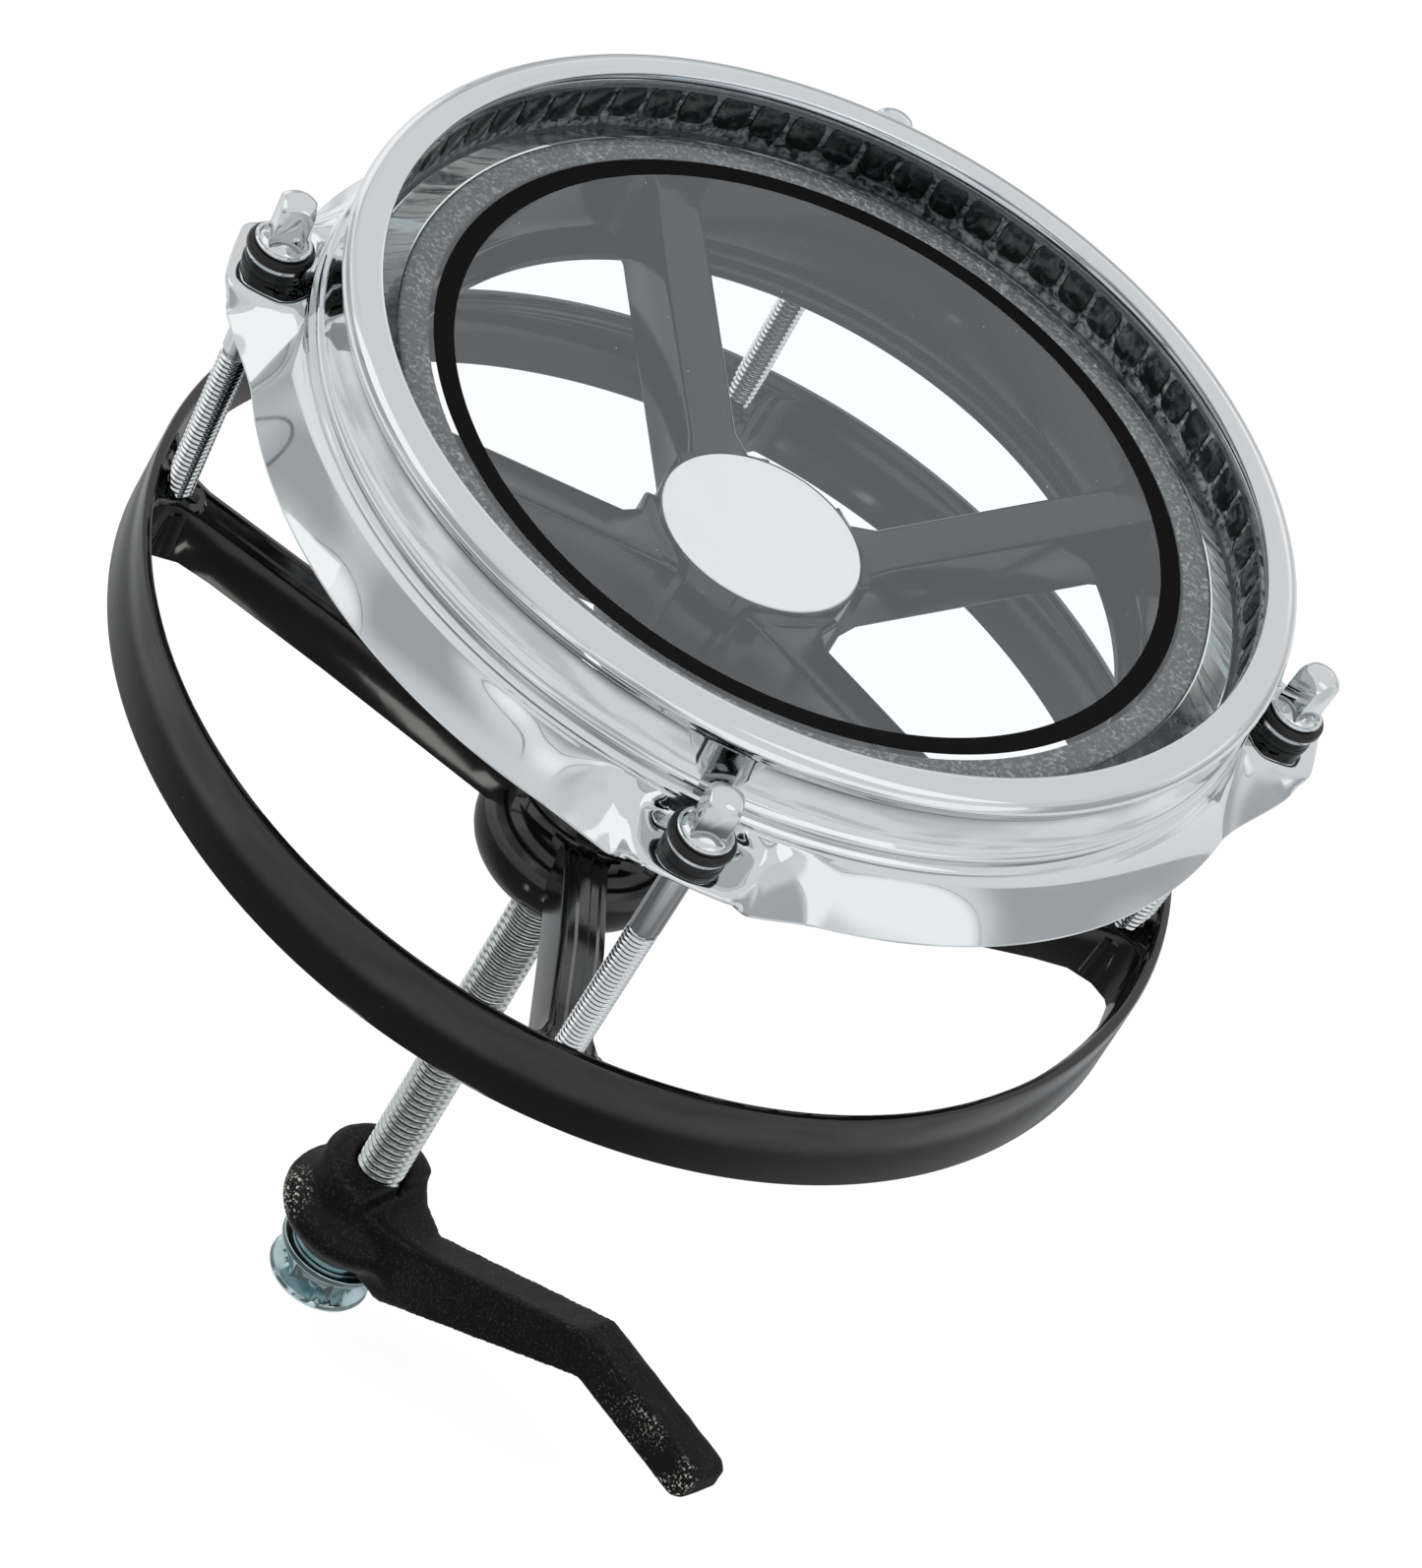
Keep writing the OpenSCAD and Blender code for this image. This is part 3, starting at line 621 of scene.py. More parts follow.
def crumpled_collar():
    """The drawn collar of the film: streaked by its wrinkles, with a painted highlight of pale haze along
    the folds in two fixed sectors.
    """
    material, tree, place = start_material("wrinkled_film_collar")
    apart = put(tree, "SeparateXYZ", {0: place})
    angle = put(tree, "Math", {0: apart.outputs[1], 1: apart.outputs[0]}, operation="ARCTAN2")
    reach = put(tree, "VectorMath", {0: place}, operation="LENGTH")
    flat = put(tree, "CombineXYZ", {0: angle, 1: reach})
    streak = put(tree, "Mapping", {"Vector": flat, "Scale": (26.0, 170.0, 1.0)})
    folds = put(tree, "TexNoise", {"Vector": streak, "Scale": 1.0, "Detail": 5.0, "Distortion": 1.0})
    broad = put(tree, "TexNoise", {"Vector": place, "Scale": 1 / (26 * MM), "Detail": 1.0})
    mixed = put(tree, "Mix", {0: 0.6, 2: folds, 3: broad})
    heading = put(tree, "VectorMath", {0: place, 1: (1, 1, 0)}, operation="MULTIPLY")
    heading = put(tree, "VectorMath", {0: heading}, operation="NORMALIZE")
    # Painted highlight: in two fixed sectors round the collar the folds turn to pale haze, as where they
    # catch the light.
    glint_sectors = []
    for direction in ((-0.906, -0.423, 0), (0.682, 0.731, 0)):
        ahead = put(tree, "VectorMath", {0: heading, 1: direction}, operation="DOT_PRODUCT")
        glint_sectors.append(put(tree, "MapRange", {"Value": ahead, "From Min": 0.91,
                                              "From Max": 0.985}, interpolation_type="SMOOTHSTEP"))
    painted_glint_sectors = put(tree, "Math", {0: glint_sectors[0], 1: glint_sectors[1]}, operation="MAXIMUM")
    fold_streaks = put(tree, "MapRange", {"Value": folds, "From Min": 0.4, "From Max": 0.56, "To Max": 0.8})
    white = put(tree, "Math", {0: painted_glint_sectors, 1: fold_streaks}, operation="MULTIPLY")
    fade = put(tree, "MapRange", {"Value": mixed, "From Min": 0.42, "From Max": 0.58,
                                  "To Min": 0.04, "To Max": 0.95})
    bump = put(tree, "Bump", {"Height": folds, "Strength": 0.7, "Distance": 0.5 * MM})
    shine = put(tree, "BsdfGlossy", {"Color": colour("#f4f7f9"), "Roughness": 0.12, "Normal": bump})
    through = put(tree, "BsdfTransparent", {"Color": colour("#c9cfd1")})
    clear = put(tree, "MixShader", {"Fac": fade, 1: through, 2: shine})
    haze = put(tree, "BsdfDiffuse", {"Color": colour("#eef0f0")})
    end_material(tree, put(tree, "MixShader", {"Fac": white, 1: clear, 2: haze}))
    return material


def ring_ink():
    """Screen ink on the film: dense matt black."""
    material, tree, place = start_material("matt_black_screen_ink")
    grain = put(tree, "TexNoise", {"Vector": place, "Scale": 1 / (0.6 * MM), "Detail": 3.0})
    tint = put(tree, "Mix", {"Factor": grain, 6: colour("#040404"), 7: colour("#080808")}, data_type="RGBA")
    end_material(tree, put(tree, "BsdfPrincipled", {
        "Base Color": tint, "Roughness": 0.6, "Specular IOR Level": 0.04}))
    return material


film_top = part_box("film")[1].z / MM
film_t = film_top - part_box("film")[0].z / MM
collar_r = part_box("film_collar")[1].x / MM
stripe_in, stripe_out = 66.1, 69.9
upper = [(0, 0), (30, 0), (55, 0), (stripe_in, 0), (stripe_out, 0)]
upper += steps_from(bearing_r, 0, (-3, 0), (-1, 0), (-0.35, -0.1), (0.15, -0.4), (0.6, -0.85), (1.5, -1.6),
                    (3, -2.7), (4.5, -3.8))
upper += [(collar_r - 0.6, -4.5), (collar_r, -4.75)]
film = turn([(r, film_top + z) for r, z in upper]
            + [(r, film_top + z - film_t * 0.99) for r, z in reversed(upper)], steps=360)
for vert in film.verts:
    reach = math.hypot(vert.co.x, vert.co.y) / MM
    pull = min(max((reach - bearing_r - 0.3) / 2.5, 0), 1) * min(max((collar_r + 0.4 - reach) / 1.5, 0.2), 1)
    angle = math.atan2(vert.co.y, vert.co.x)
    ripple = noise.noise(Vector((math.cos(angle), math.sin(angle), reach * 0.03)) * 17)
    ripple += 0.6 * noise.noise(Vector((math.cos(angle), math.sin(angle), reach * 0.05)) * 41)
    vert.co.z += pull * ripple * 0.22 * MM
for part in film.faces:
    middle = math.hypot(*part.calc_center_median().xy) / MM
    on_top = part.calc_center_median().z > (film_top - 0.1) * MM
    part.material_index = 2 if middle > bearing_r else int(stripe_in < middle < stripe_out and on_top)
film_piece = build(film, "drum_film", None, [clear_film(), ring_ink(), crumpled_collar()],
                   ["film", "film_collar"], crease=60)
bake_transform(film_piece)

# --- Flesh hoop and resin ------------------------------------------------------------------
# A rolled aluminium channel grips the film's edge. Dark resin is cast in it through a row of
# punched tabs, which show from inside as rounded blocks with thin pale walls between them.
dress("flesh_hoop", grainy("rolled_aluminium", "#a3a8aa", "#7c8184", 0.4, 0.3, 1.0))


def streaked(name, size, swirl, span, dark, light, relief, rough):
    """A wet-looking solid with flaws drawn out in it, of a size and a relief in millimetres."""
    material, tree, place = start_material(name)
    streak = put(tree, "TexNoise", {"Vector": place, "Scale": 1 / (size * MM), "Detail": 4.0,
                                    "Distortion": swirl})
    flaw = put(tree, "MapRange", {"Value": streak, "From Min": span[0], "From Max": span[1]})
    tint = put(tree, "Mix", {"Factor": flaw, 6: colour(dark), 7: colour(light)}, data_type="RGBA")
    bump = put(tree, "Bump", {"Height": streak, "Strength": relief[0], "Distance": relief[1] * MM})
    end_material(tree, put(tree, "BsdfPrincipled", {
        "Base Color": tint, "Roughness": rough, "Normal": bump}))
    return material


# Poured resin behind clear film: almost black, wet, with smoky flaws.
cast_resin = streaked("dark_cast_resin", 3, 1.2, (0.5, 0.8), "#0b0d0e", "#4b5153", (0.6, 0.15), 0.16)
# Crumpled edge of the film between the blocks: pale, streaky and shiny.
tab_film = streaked("crumpled_film_edge", 1.6, 0.8, (0.38, 0.72), "#101314", "#8d9496", (0.8, 0.2), 0.2)

resin_low, resin_high = corners("resin_ring")
resin_in = collar_r + 0.6
block_count = 74
block_low, block_high = film_top - 2.6, resin_high.z - 0.2
block_w = 2 * math.pi * resin_in / block_count - 0.9
resin = turn([(resin_in + 0.5, resin_low.z), (resin_high.x, resin_low.z), (resin_high.x, resin_high.z),
              (resin_in + 0.5, resin_high.z)], steps=296)
for part in resin.faces:
    part.material_index = int(math.hypot(*part.calc_center_median().xy) < (resin_in + 0.7) * MM
                              and part.calc_center_median().z > 0)
block = bmesh.new()
bmesh.ops.create_cube(block, size=1, matrix=Matrix.Translation(((resin_in + 0.55) * MM, 0,
                      (block_low + block_high) / 2 * MM)) @ Matrix.Diagonal((0.9 * MM, block_w * MM,
                      (block_high - block_low) * MM, 1)))
bmesh.ops.bevel(block, geom=[e for e in block.edges if abs(e.verts[0].co.x - e.verts[1].co.x) > 0.1 * MM],
                offset=2 * MM, offset_type="OFFSET", segments=4, profile=0.5, affect="EDGES", material=-1)
soften(block, 0.32, 2, 60)
spread_round(block, block_count, 0)
build(join(resin, block), "resin_blocks", "tension_frame", [cast_resin, tab_film],
      ["resin_ring"], crease=50)

# --- Hoop ----------------------------------------------------------------------------------
# A cast hoop with a rolled lip, a band of beads and a skirt that flares into four lug ears.
# Bright chrome over a ground casting: a clean mirror with the faint waviness of hand polish.
CHROME = "#c9cdcf"


def chrome(name, wave, depth):
    """Chrome plate: mirror-bright, slightly wavy where the casting under it is."""
    material, tree, place = start_material(name)
    swell = put(tree, "TexNoise", {"Vector": place, "Scale": 1 / (wave * MM), "Detail": 2.0})
    bump = put(tree, "Bump", {"Height": swell, "Strength": 1.0, "Distance": depth * MM})
    haze = put(tree, "TexNoise", {"Vector": place, "Scale": 1 / (4 * MM), "Detail": 3.0})
    gloss = put(tree, "MapRange", {"Value": haze, "From Min": 0.35, "From Max": 0.8,
                                   "To Min": 0.025, "To Max": 0.08})
    end_material(tree, put(tree, "BsdfPrincipled", {
        "Base Color": colour(CHROME), "Metallic": 1.0, "Roughness": gloss,
        "Normal": bump}))
    return material


hoop_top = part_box("hoop")[1].z / MM
rod_joints = [joint for joint in frame["joints"] if joint["child"].startswith("tuning_rod")]
seat_z = rod_joints[0]["pos_m"][2] / MM
rod_top_r = math.hypot(*rod_joints[0]["pos_m"][:2]) / MM
lean = math.acos(rod_joints[0]["axis"][2])
rod_azimuth = 40.5
hoop_in, hoop_out = 86.2, 88.1
lip_r = 82.4
lip_z = hoop_top - 3
bead_z = lip_z - 10
skirt_r, skirt_z = 90.3, bead_z - 5.5
hem_r, hem_z = 95.1, skirt_z - 10.3
washer_t = 2.5
bush_h = 2.2
ear_r = 7.4
ear_t = 3


def across(height, radius):
    """Height of the plane across a rod, at a distance out from the spindle."""
    centre = rod_top_r + height * math.sin(lean)
    return seat_z + height * math.cos(lean) - (radius - centre) * math.tan(lean)


def blend_out(offset, start, end):
    """1 near a rod, falling smoothly to 0 between two offsets along the hoop from it."""
    share = min(max((abs(offset) - start) / (end - start), 0), 1)
    return 1 - share * share * (3 - 2 * share)


crown_points = [(hoop_in, lip_z), (lip_r + 0.3, lip_z), (lip_r, lip_z + 0.3)]
crown_points += steps_from(lip_r, hoop_top, (0, -0.8), (0.25, -0.25), (0.8, 0))
crown_points += steps_from(
    hoop_out, hoop_top, (-2.6, 0), (-1, -0.25), (0, -0.8), (0.7, -1.7), (0.9, -2.6), (0.65, -3.5),
    (0.15, -4.3), (0, -5))
crown_points += [(hoop_out, lip_z - 6)]
crown_points += steps_from(
    hoop_out, bead_z, (0, 0.2), (0.1, 0), (0.7, -0.3), (0.95, -0.8), (0.95, -1.4), (0.7, -1.9), (0.35, -2.2),
    (0.3, -2.6), (1, -2.9), (1.45, -3.2), (1.55, -3.7), (1.4, -4.2), (1.45, -4.6))
ear_tip = rod_top_r - (washer_t + bush_h) * math.sin(lean) + ear_r
ear_foot = across(-washer_t - bush_h - ear_t, ear_tip)


def skirt(swell):
    """Outline of the skirt: plain where swell is 0, out to an ear's tip in a shoulder where it is 1."""
    reach = hem_r + (ear_tip - hem_r) * swell
    foot = hem_z + (ear_foot - hem_z) * swell
    points = [(hoop_out + 1.6 + (reach - hoop_out - 1.6) * t ** (1.35 - 0.75 * swell),
               bead_z - 5 + (foot + 0.7 - bead_z + 5) * t + 0.7 * swell * math.sin(math.pi * t))
              for t in [i / 17 for i in range(18)]]
    points += steps_from(reach, foot, (0.03, 0.3), (-0.2, 0.05), (-0.6, 0), (-1.4, 0), (-1.8, 0.15),
                         (-2, 0.4))
    points += [(reach - 3.4, foot + 3.4 - 2.5 * swell), (skirt_r - 1.5, skirt_z - 3),
               (skirt_r - 2, skirt_z - 1), (hoop_in + 0.6, skirt_z + 0.2)]
    return points


inner_points = [(hoop_in, skirt_z + 1), (hoop_in, lip_z - 7)]


def ear_outline():
    """Outline of the skirt through an ear: down to its pad, out to a thin lip and back in below."""
    pad, foot = -washer_t - bush_h, -washer_t - bush_h - ear_t
    flat, lip = 91.6, ear_tip - 0.9
    points = [(89.6, bead_z - 5), (89.62, bead_z - 5.6)]
    points += [(r, across(pad, max(r, 90)) + rise) for r, rise in ((89.7, 1.1), (90, 0.5), (90.6, 0.12))]
    points += [(r, across(pad, r)) for r in [flat + (lip - flat) * i / 5 for i in range(6)]]
    points += [(ear_tip - out, across(pad, ear_tip) - down)
               for out, down in ((0.45, 0.04), (0.15, 0.15), (0.02, 0.4), (0.02, 0.75), (0.2, 1.05),
                                 (0.8, 1.35), (1.7, 1.75), (2.7, 2.2), (3.7, 2.65))]
    points += [(r, across(foot, r) + rise)
               for r, rise in ((ear_tip - 5, 0), (97.5, 0), (93.5, 0), (91.2, 0), (90.2, 0.3), (89.4, 1.1))]
    return points + [(88.6, skirt_z - 2), (hoop_in + 0.6, skirt_z + 0.2)]


ring = crown_points + skirt(0) + inner_points
hoop = turn(ring, steps=640)
first, last = len(crown_points), len(crown_points) + len(skirt(0))
for vert in hoop.verts:
    reach, height = math.hypot(vert.co.x, vert.co.y) / MM, vert.co.z / MM
    number = min(range(len(ring)), key=lambda i: abs(ring[i][0] - reach) + abs(ring[i][1] - height))
    turned = math.degrees(math.atan2(vert.co.y, vert.co.x)) - rod_azimuth
    quarter = round(turned / 90)
    swing = turned - 90 * quarter
    swing = math.copysign(45 * (abs(swing) / 45) ** 1.7, swing)
    if first <= number < last:
        offset = math.radians(swing) * rod_top_r
        shoulder = skirt(blend_out(offset, 4, 27))[number - first]
        ear = ear_outline()[number - first]
        weight = blend_out(offset, 6.2, 12.5)
        reach = shoulder[0] + (ear[0] - shoulder[0]) * weight
        height = shoulder[1] + (ear[1] - shoulder[1]) * weight
    angle = math.radians(rod_azimuth + 90 * quarter + swing)
    vert.co = Vector((reach * math.cos(angle), reach * math.sin(angle), height)) * MM


def on_rod(bm, number):
    """Moves a mesh from the origin to a rod's seat, with its Z along the rod."""
    joint = rod_joints[number - 1]
    axis = Vector(joint["axis"])
    turn_out = Matrix.Rotation(math.atan2(axis.y, axis.x), 4, "Z")
    lean_out = Matrix.Rotation(math.acos(axis.z), 4, "Y")
    bmesh.ops.transform(bm, matrix=Matrix.Translation(joint["pos_m"]) @ turn_out @ lean_out, verts=bm.verts)
    return bm


sleeve_r = 4.195
drills = []
for number in (1, 2, 3, 4):
    drill = turn([(0, -20), (sleeve_r + 0.02, -20), (sleeve_r + 0.02, -washer_t - bush_h + 2),
                  (0, -washer_t - bush_h + 2)], steps=40)
    drills.append(on_rod(drill, number))
hoop = carve(hoop, join(*drills))
build(hoop, "chromed_hoop", "tension_frame", [chrome("chromed_casting", 50, 0.16)], ["hoop"],
      crease=28)

# --- Bushes and washers in the ears --------------------------------------------------------
# Glossy black moulded bushes line the ears, with a collar on top of each. A soft satin nylon
# washer sits on every collar and bulges a little under its rod's flange.


def moulded_black(name, tint, rough, size):
    """Black moulded plastic: even, with a very fine grain in its shine."""
    material, tree, place = start_material(name)
    grain = put(tree, "TexNoise", {"Vector": place, "Scale": 1 / (size * MM), "Detail": 3.0})
    gloss = put(tree, "MapRange", {"Value": grain, "To Min": rough * 0.8, "To Max": rough * 1.2})
    bump = put(tree, "Bump", {"Height": grain, "Strength": 0.3, "Distance": 0.02 * MM})
    end_material(tree, put(tree, "BsdfPrincipled", {
        "Base Color": colour(tint), "Roughness": gloss, "Specular IOR Level": 0.3,
        "Normal": bump}))
    return material


rod_r = 2.745
hole_r = rod_r + 0.25
bushes, washers = [], []
for number in (1, 2, 3, 4):
    collar_foot = -washer_t - bush_h
    bush = turn([(hole_r, -washer_t), (5.3, -washer_t), (5.5, -washer_t - 0.15), (5.55, -washer_t - 0.4),
                 (5.55, collar_foot + 0.75), (5.7, collar_foot + 0.55), (5.7, collar_foot + 0.1),
                 (5.6, collar_foot), (sleeve_r, collar_foot), (sleeve_r, collar_foot - ear_t + 0.3),
                 (sleeve_r - 0.3, collar_foot - ear_t), (hole_r, collar_foot - ear_t)], steps=64)
    bushes.append(on_rod(bush, number))
    washer = turn([(hole_r, 0), (5.4, 0), (5.85, -0.12), (6.05, -0.5), (6.1, -washer_t / 2),
                   (6.05, -washer_t + 1.1), (5.85, -washer_t + 0.85), (5.6, -washer_t + 0.8),
                   (5.6, -washer_t), (hole_r, -washer_t)], steps=64)
    for part in washer.faces:
        part.material_index = int(part.calc_center_median().z < (0.75 - washer_t) * MM)
    washers.append(on_rod(washer, number))
build(join(*bushes), "ear_bush_set", "tension_frame",
      [moulded_black("glossy_moulded_black", "#050506", 0.06, 2.0)], ["ear_bushes"])
build(join(*washers), "rod_washer_set", "tension_frame",
      [moulded_black("satin_black_nylon", "#070708", 0.26, 0.5), chrome("plated_washer_face", 9, 0.01)],
      ["rod_washers"], crease=60)

# --- Tension rods --------------------------------------------------------------------------
# Each rod is one turned and rolled piece: thread, plain shank, saucer flange and a square head
# with a domed top. Bright chrome like the hoop, but smoother, since it covers drawn steel.
rod_chrome = chrome("chromed_drawn_steel", 9, 0.01)
rod_l = 68.67
rod_pitch = 1.058
thread_top = -25
flange_r, rim_t, cone_h = 5.1, 0.8, 2.2
head_af, head_h, dome_h = 5.9, 6.5, 1.6
head_turns = (45, 20, 12, 8)
for number, head_turn in zip((1, 2, 3, 4), head_turns):
    shank = turn(
        [(0, thread_top - 1), (rod_r - 0.5, thread_top - 1), (rod_r - 0.5, thread_top),
         (rod_r, thread_top + 0.6), (rod_r, -0.3), (rod_r + 0.3, 0), (flange_r - 0.3, 0), (flange_r, 0.25)]
        + steps_from(flange_r, rim_t, (0, -0.1), (-0.2, 0.1), (-0.6, 0.05), (-0.9, -0.2), (-1.3, 0),
                     (-1.8, 0.6))
        + [(flange_r - 2.2, cone_h), (0, cone_h)], steps=64)
    thread = wind_thread(rod_r, rod_pitch, -rod_l, thread_top, chamfer=0.7, steps=20)
    head = prism([(-head_af / 2, -head_af / 2), (head_af / 2, -head_af / 2), (head_af / 2, head_af / 2),
                  (-head_af / 2, head_af / 2)], rim_t + 0.3, cone_h + head_h + dome_h + 1)
    rotate(head, 90, "X")
    soften(head, 0.35, 3, 60, [e for e in head.edges if abs(e.verts[0].co.z - e.verts[1].co.z) > MM])
    top = cone_h + head_h + dome_h
    dome = turn([(0, rim_t), (4.5, rim_t), (4.15, top - 2.6), (3.95, top - 1.8), (3.55, top - 1.1),
                 (2.9, top - 0.5), (2.1, top - 0.15), (1.2, top), (0, top)], steps=64)
    head = carve(head, dome, "INTERSECT")
    soften(head, 0.3, 3, 24)
    rotate(head, head_turn)
    build(on_rod(join(shank, thread, head), number), "tension_rod_%d" % number, "tuning_rod_%d" % number,
          [rod_chrome, thread_root_shade], ["rod_%d" % number])

# --- Tension wheel -------------------------------------------------------------------------
# A die-cast wheel threaded on the spindle: four sloping spokes from a round-bellied hub to a
# deep rim, with a boss at each spoke's end for a rod's foot. Gloss black enamel all over.
hand_high = corners("tension_wheel")[1]
rim_r, rim_top, rim_foot = hand_high.x, hand_high.z, hand_high.z - 17
rim_wall = 3
core_top, core_h, core_r = rim_top - 24.5, 27, 19.5
core_low = core_top - core_h
boss_r = 5.8

tension_wheel = turn(
    [(rim_r, rim_foot + 0.8)]
    + steps_from(rim_r, rim_top, (0, -0.8), (-0.25, -0.22), (-0.8, 0), (-1.5, 0), (-1.9, -0.25), (-2, -0.7),
                 (-2.15, -1.6), (-2.6, -2.3))
    + [(rim_r - rim_wall, rim_top - 3)]
    + steps_from(rim_r - rim_wall, rim_foot, (0, 2), (0.1, 0.5), (0.6, 0))
    + steps_from(rim_r, rim_foot, (-0.8, 0), (-0.2, 0.22)), steps=288)
belly = [(core_r - 8.5 + 8.5 * math.cos(a), core_low + 13 + 9.5 * math.sin(a))
         for a in [math.radians(d) for d in range(-64, 66, 8)]]
core = turn([(spindle_r + 0.3, core_low), (8.6, core_low), (9.4, core_low + 0.3), (9.8, core_low + 1.2),
             (9.9, core_low + 2.4), (11.4, core_low + 3.2)]
            + belly
            + [(13.4, core_top - 3), (13.2, core_top - 1), (12.8, core_top - 0.3), (12, core_top),
               (spindle_r + 1.1, core_top), (spindle_r + 0.3, core_top - 0.8)], steps=144)
grooved = [(-0.5, 0), (0.5, 0), (0.5, 1), (0.37, 1), (0.32, 0.96), (0.16, 0.96), (0.11, 1),
           (-0.11, 1), (-0.16, 0.96), (-0.32, 0.96), (-0.37, 1), (-0.5, 1)]

bend_r = core_r / 2 + 46


def wheel_under(x):
    """Underside of a tension spoke: it climbs to the boss ever more gently, then runs level."""
    steep = line_through(core_r - 1, core_top - 11.5, bend_r, core_top)(x)
    easy = line_through(bend_r, core_top, 84, rim_foot + 0.5)(x)
    return min(steep, easy, rim_foot + 0.7)


def wheel_over(x):
    """Top of a tension spoke, which bends as its underside does."""
    steep = line_through(core_r - 1, core_top - 3, bend_r, core_top + 10.8)(x)
    return min(steep, line_through(bend_r, core_top + 10.8, 92, rim_top - 4)(x))


wheel_spoke = spoke(grooved, 14.5, rim_r - rim_wall, wheel_under, wheel_over,
                    width=8.5, root=3, tip=9, count=14, lift=0.15, sink=0)
soften(wheel_spoke, 0.8, 3, 50, long_edges(wheel_spoke))
spread_round(wheel_spoke, 4, rod_azimuth)
bosses = []
for number in (1, 2, 3, 4):
    boss = turn([(rod_r + 0.05, -rod_l - 0.6), (rod_r + 0.6, -rod_l - 1), (boss_r - 0.6, -rod_l - 1),
                 (boss_r, -rod_l - 0.4), (boss_r, -59.5), (boss_r - 0.5, -58.9), (rod_r + 0.6, -58.9),
                 (rod_r + 0.05, -59.4)], steps=64)
    bosses.append(on_rod(boss, number))
join(tension_wheel, core, wheel_spoke, *bosses)
build(tension_wheel, "tension_wheel_casting", "tension_frame", [enamel], ["tension_wheel"])

# --- Studio: floor, light and camera -------------------------------------------------------
# A white floor and backdrop, a large softbox high on the left and a fill. Cards that only
# reflections see stand in for the room: a shaded floor, a softly lit wall, the lamps' own faces,
# and two small strips that light the lower wheel's belly.


def white_floor():
    """Matt white studio floor, held near white in view and in mirrors, with a soft shadow."""
    material, tree, _ = start_material("white_studio_floor")
    ray = put(tree, "LightPath", {}).outputs
    seen = put(tree, "Math", {0: ray["Is Camera Ray"], 1: ray["Is Glossy Ray"]}, operation="MAXIMUM")
    clear = put(tree, "Math", {0: seen, 1: ray["Is Transmission Ray"]}, operation="MAXIMUM")
    share = put(tree, "Math", {0: clear, 1: 0.86}, operation="MULTIPLY")
    matt = put(tree, "BsdfDiffuse", {"Color": colour("#f2f2f2")})
    glow = put(tree, "Emission", {"Color": colour("#ffffff"), "Strength": 1.05})
    end_material(tree, put(tree, "MixShader", {"Fac": share, 1: matt, 2: glow}))
    return material


def stage_piece(name, bm, material):
    """Adds a mesh that belongs to the studio and not to the drum."""
    piece = as_object(bm, name)
    piece.data.materials.append(material)
    return piece


floor = bmesh.new()
bmesh.ops.create_grid(floor, x_segments=1, y_segments=1, size=6, matrix=Matrix.Translation((0, 0, -0.006)))
stage_piece("studio_floor", floor, white_floor())


def card_material(name, tint, strength):
    """Plain card that glows evenly in reflections."""
    material, tree, _ = start_material(name)
    end_material(tree, put(tree, "Emission", {"Color": colour(tint), "Strength": strength}))
    return material


def reflection_card(name, bm, material):
    """A card that is seen by reflections alone."""
    card = stage_piece(name, bm, material)
    for ray in ("camera", "diffuse", "shadow", "transmission", "volume_scatter"):
        setattr(card, "visible_" + ray, False)


def shaded_floor():
    """What low reflections see: a floor dark under the camera and paler all round, in soft drifts."""
    material, tree, place = start_material("shaded_floor")
    reach = put(tree, "VectorMath", {0: place}, operation="LENGTH")
    far = put(tree, "MapRange", {"Value": reach, "From Min": 0.262, "From Max": 0.318},
              interpolation_type="SMOOTHSTEP")
    heading = put(tree, "VectorMath", {0: place}, operation="NORMALIZE")
    ahead = put(tree, "VectorMath", {0: heading, 1: (0.26, -0.966, 0)}, operation="DOT_PRODUCT")
    near = put(tree, "MapRange", {"Value": ahead, "From Min": 0.1, "From Max": 0.85,
                                  "To Min": 0.36, "To Max": 0.16}, interpolation_type="SMOOTHSTEP")
    drift = put(tree, "TexNoise", {"Vector": place, "Scale": 1 / (130 * MM), "Detail": 1.0})
    away = put(tree, "MapRange", {"Value": drift, "From Min": 0.38, "From Max": 0.6,
                                  "To Min": 0.8, "To Max": 1.02}, interpolation_type="SMOOTHSTEP")
    level = put(tree, "Mix", {0: far, 2: near, 3: away})
    end_material(tree, put(tree, "Emission", {"Color": colour("#fbfdff"), "Strength": level}))
    return material


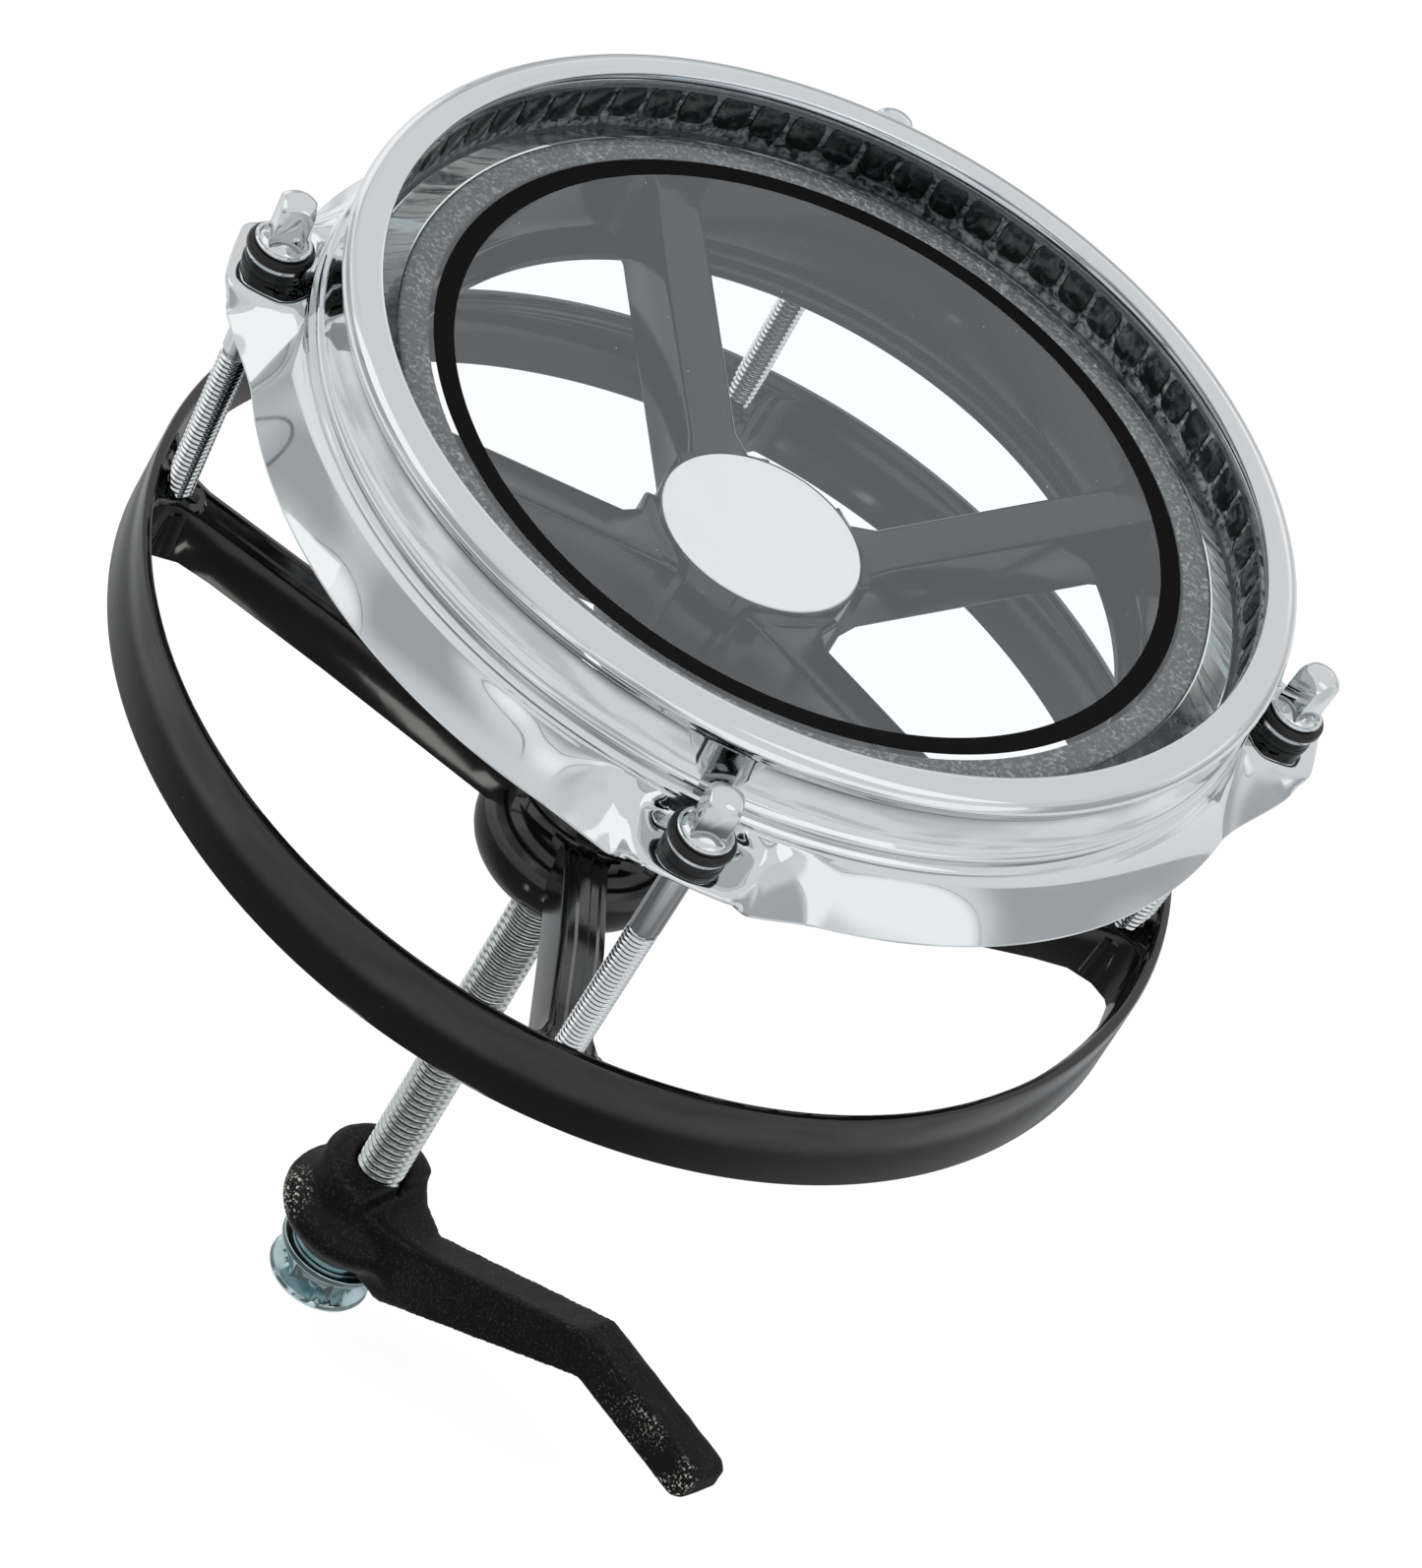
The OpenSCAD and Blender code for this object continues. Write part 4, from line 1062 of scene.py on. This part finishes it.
def studio_wall():
    """The studio as chrome sees it: soft grey drifts, blurred windows and thin dark edges."""
    material, tree, place = start_material("studio_wall")
    tall = put(tree, "Mapping", {"Vector": place, "Scale": (1, 1, 0.7)})
    drift = put(tree, "TexNoise", {"Vector": tall, "Scale": 1 / (900 * MM), "Detail": 1.0})
    grey = put(tree, "MapRange", {"Value": drift, "From Min": 0.38, "From Max": 0.6,
                                  "To Min": 0.6, "To Max": 1.0}, interpolation_type="SMOOTHSTEP")
    panes = put(tree, "TexNoise", {"Vector": tall, "Scale": 1 / (850 * MM), "Detail": 0.0})
    window = put(tree, "MapRange", {"Value": panes, "From Min": 0.54, "From Max": 0.64,
                                    "To Min": 0.0, "To Max": 0.35}, interpolation_type="SMOOTHSTEP")
    step = put(tree, "Math", {0: panes, 1: 0.555}, operation="SUBTRACT")
    edge = put(tree, "Math", {0: step}, operation="ABSOLUTE")
    line = put(tree, "MapRange", {"Value": edge, "From Min": 0.001, "From Max": 0.006,
                                  "To Min": 0.4, "To Max": 1.0})
    lit = put(tree, "Math", {0: grey, 1: window}, operation="ADD")
    lined = put(tree, "Math", {0: lit, 1: line}, operation="MULTIPLY")
    apart = put(tree, "SeparateXYZ", {0: place})
    high = put(tree, "MapRange", {"Value": apart.outputs[2], "From Min": 0.75, "From Max": 1.0},
               interpolation_type="SMOOTHSTEP")
    level = put(tree, "Mix", {0: high, 2: lined, 3: 1.0})
    tint = put(tree, "Mix", {"Factor": grey, 6: colour("#dfe9f1"), 7: colour("#ffffff")}, data_type="RGBA")
    end_material(tree, put(tree, "Emission", {"Color": tint, "Strength": level}))
    return material


ring_card = turn([(20, -4), (620, -4), (620, -4.4), (20, -4.4)], steps=64)
reflection_card("shade_on_floor", ring_card, shaded_floor())
wall_card = turn([(1600, -4), (1600, 1700), (1610, 1700), (1610, -4)], steps=128)
reflection_card("wall_in_reflections", wall_card, studio_wall())
for name, azimuth, reach, length, width, strength in (
        ("belly_left", 281, 152, 52, 12, 3), ("belly_right", 305, 148, 52, 20, 4)):
    strip = bmesh.new()
    bmesh.ops.create_cube(strip, size=1, matrix=Matrix.Rotation(math.radians(azimuth), 4, "Z")
                          @ Matrix.Translation(Vector((reach, 0, -3)) * MM)
                          @ Matrix.Diagonal((length * MM, width * MM, MM, 1)))
    reflection_card(name + "_strip", strip, card_material(name + "_light", "#fffdf6", strength))

camera_right = Vector((0.58205, 0.70401, 0.4069))
camera_up = Vector((-0.71664, 0.20767, 0.6658))
camera_back = Vector((0.38424, -0.67915, 0.6254))
middle = Vector((0, 0, 0.15))


def lamp(name, direction, distance, width, height, watts):
    """An area lamp that faces the drum from a direction, with a gentler face for reflections to see."""
    light = bpy.data.lights.new(name, "AREA")
    light.shape, light.size, light.size_y, light.energy = "RECTANGLE", width, height, watts
    holder = bpy.data.objects.new(name, light)
    bpy.context.scene.collection.objects.link(holder)
    place = middle + direction.normalized() * distance
    facing = (place - middle).to_track_quat("Z", "Y").to_matrix().to_4x4()
    holder.matrix_world = Matrix.Translation(place) @ facing
    holder.visible_glossy = False
    face = bmesh.new()
    bmesh.ops.create_grid(face, x_segments=1, y_segments=1, size=0.5,
                          matrix=holder.matrix_world @ Matrix.Diagonal((width, height, 1, 1)))
    reflection_card(name + "_face", face, card_material(name + "_face", "#ffffff", 1.45))


lamp("softbox_key", camera_up * 1.0 - camera_right * 0.7 + camera_back * 0.5,
     distance=1.5, width=1.0, height=0.8, watts=26)
lamp("softbox_fill", camera_right * 1.0 + camera_up * 0.4 + camera_back * 0.9,
     distance=2.0, width=0.8, height=1.2, watts=14)

world = bpy.data.worlds.new("studio")
bpy.context.scene.world = world
world.use_nodes = True
world.node_tree.nodes.clear()
ray = put(world.node_tree, "LightPath", {}).outputs
seen = put(world.node_tree, "Math", {0: ray["Is Camera Ray"], 1: ray["Is Glossy Ray"]}, operation="MAXIMUM")
clear = put(world.node_tree, "Math", {0: seen, 1: ray["Is Transmission Ray"]}, operation="MAXIMUM")
level = put(world.node_tree, "MapRange", {"Value": clear, "To Min": 0.55, "To Max": 1.0})
sky = put(world.node_tree, "Background", {"Color": colour("#ffffff"), "Strength": level})
put(world.node_tree, "OutputWorld", {"Surface": sky})

camera = bpy.data.cameras.new("main_view")
camera.lens, camera.sensor_width, camera.sensor_fit = 203.39, 36, "AUTO"
camera.clip_end = 20
viewer = bpy.data.objects.new("main_view", camera)
bpy.context.scene.collection.objects.link(viewer)
turned = Matrix((camera_right, camera_up, camera_back)).transposed().to_4x4()
viewer.matrix_world = Matrix.Translation((0.6110, -1.0493, 1.1248)) @ turned
bpy.context.scene.camera = viewer
bpy.context.scene.view_settings.view_transform = "Standard"
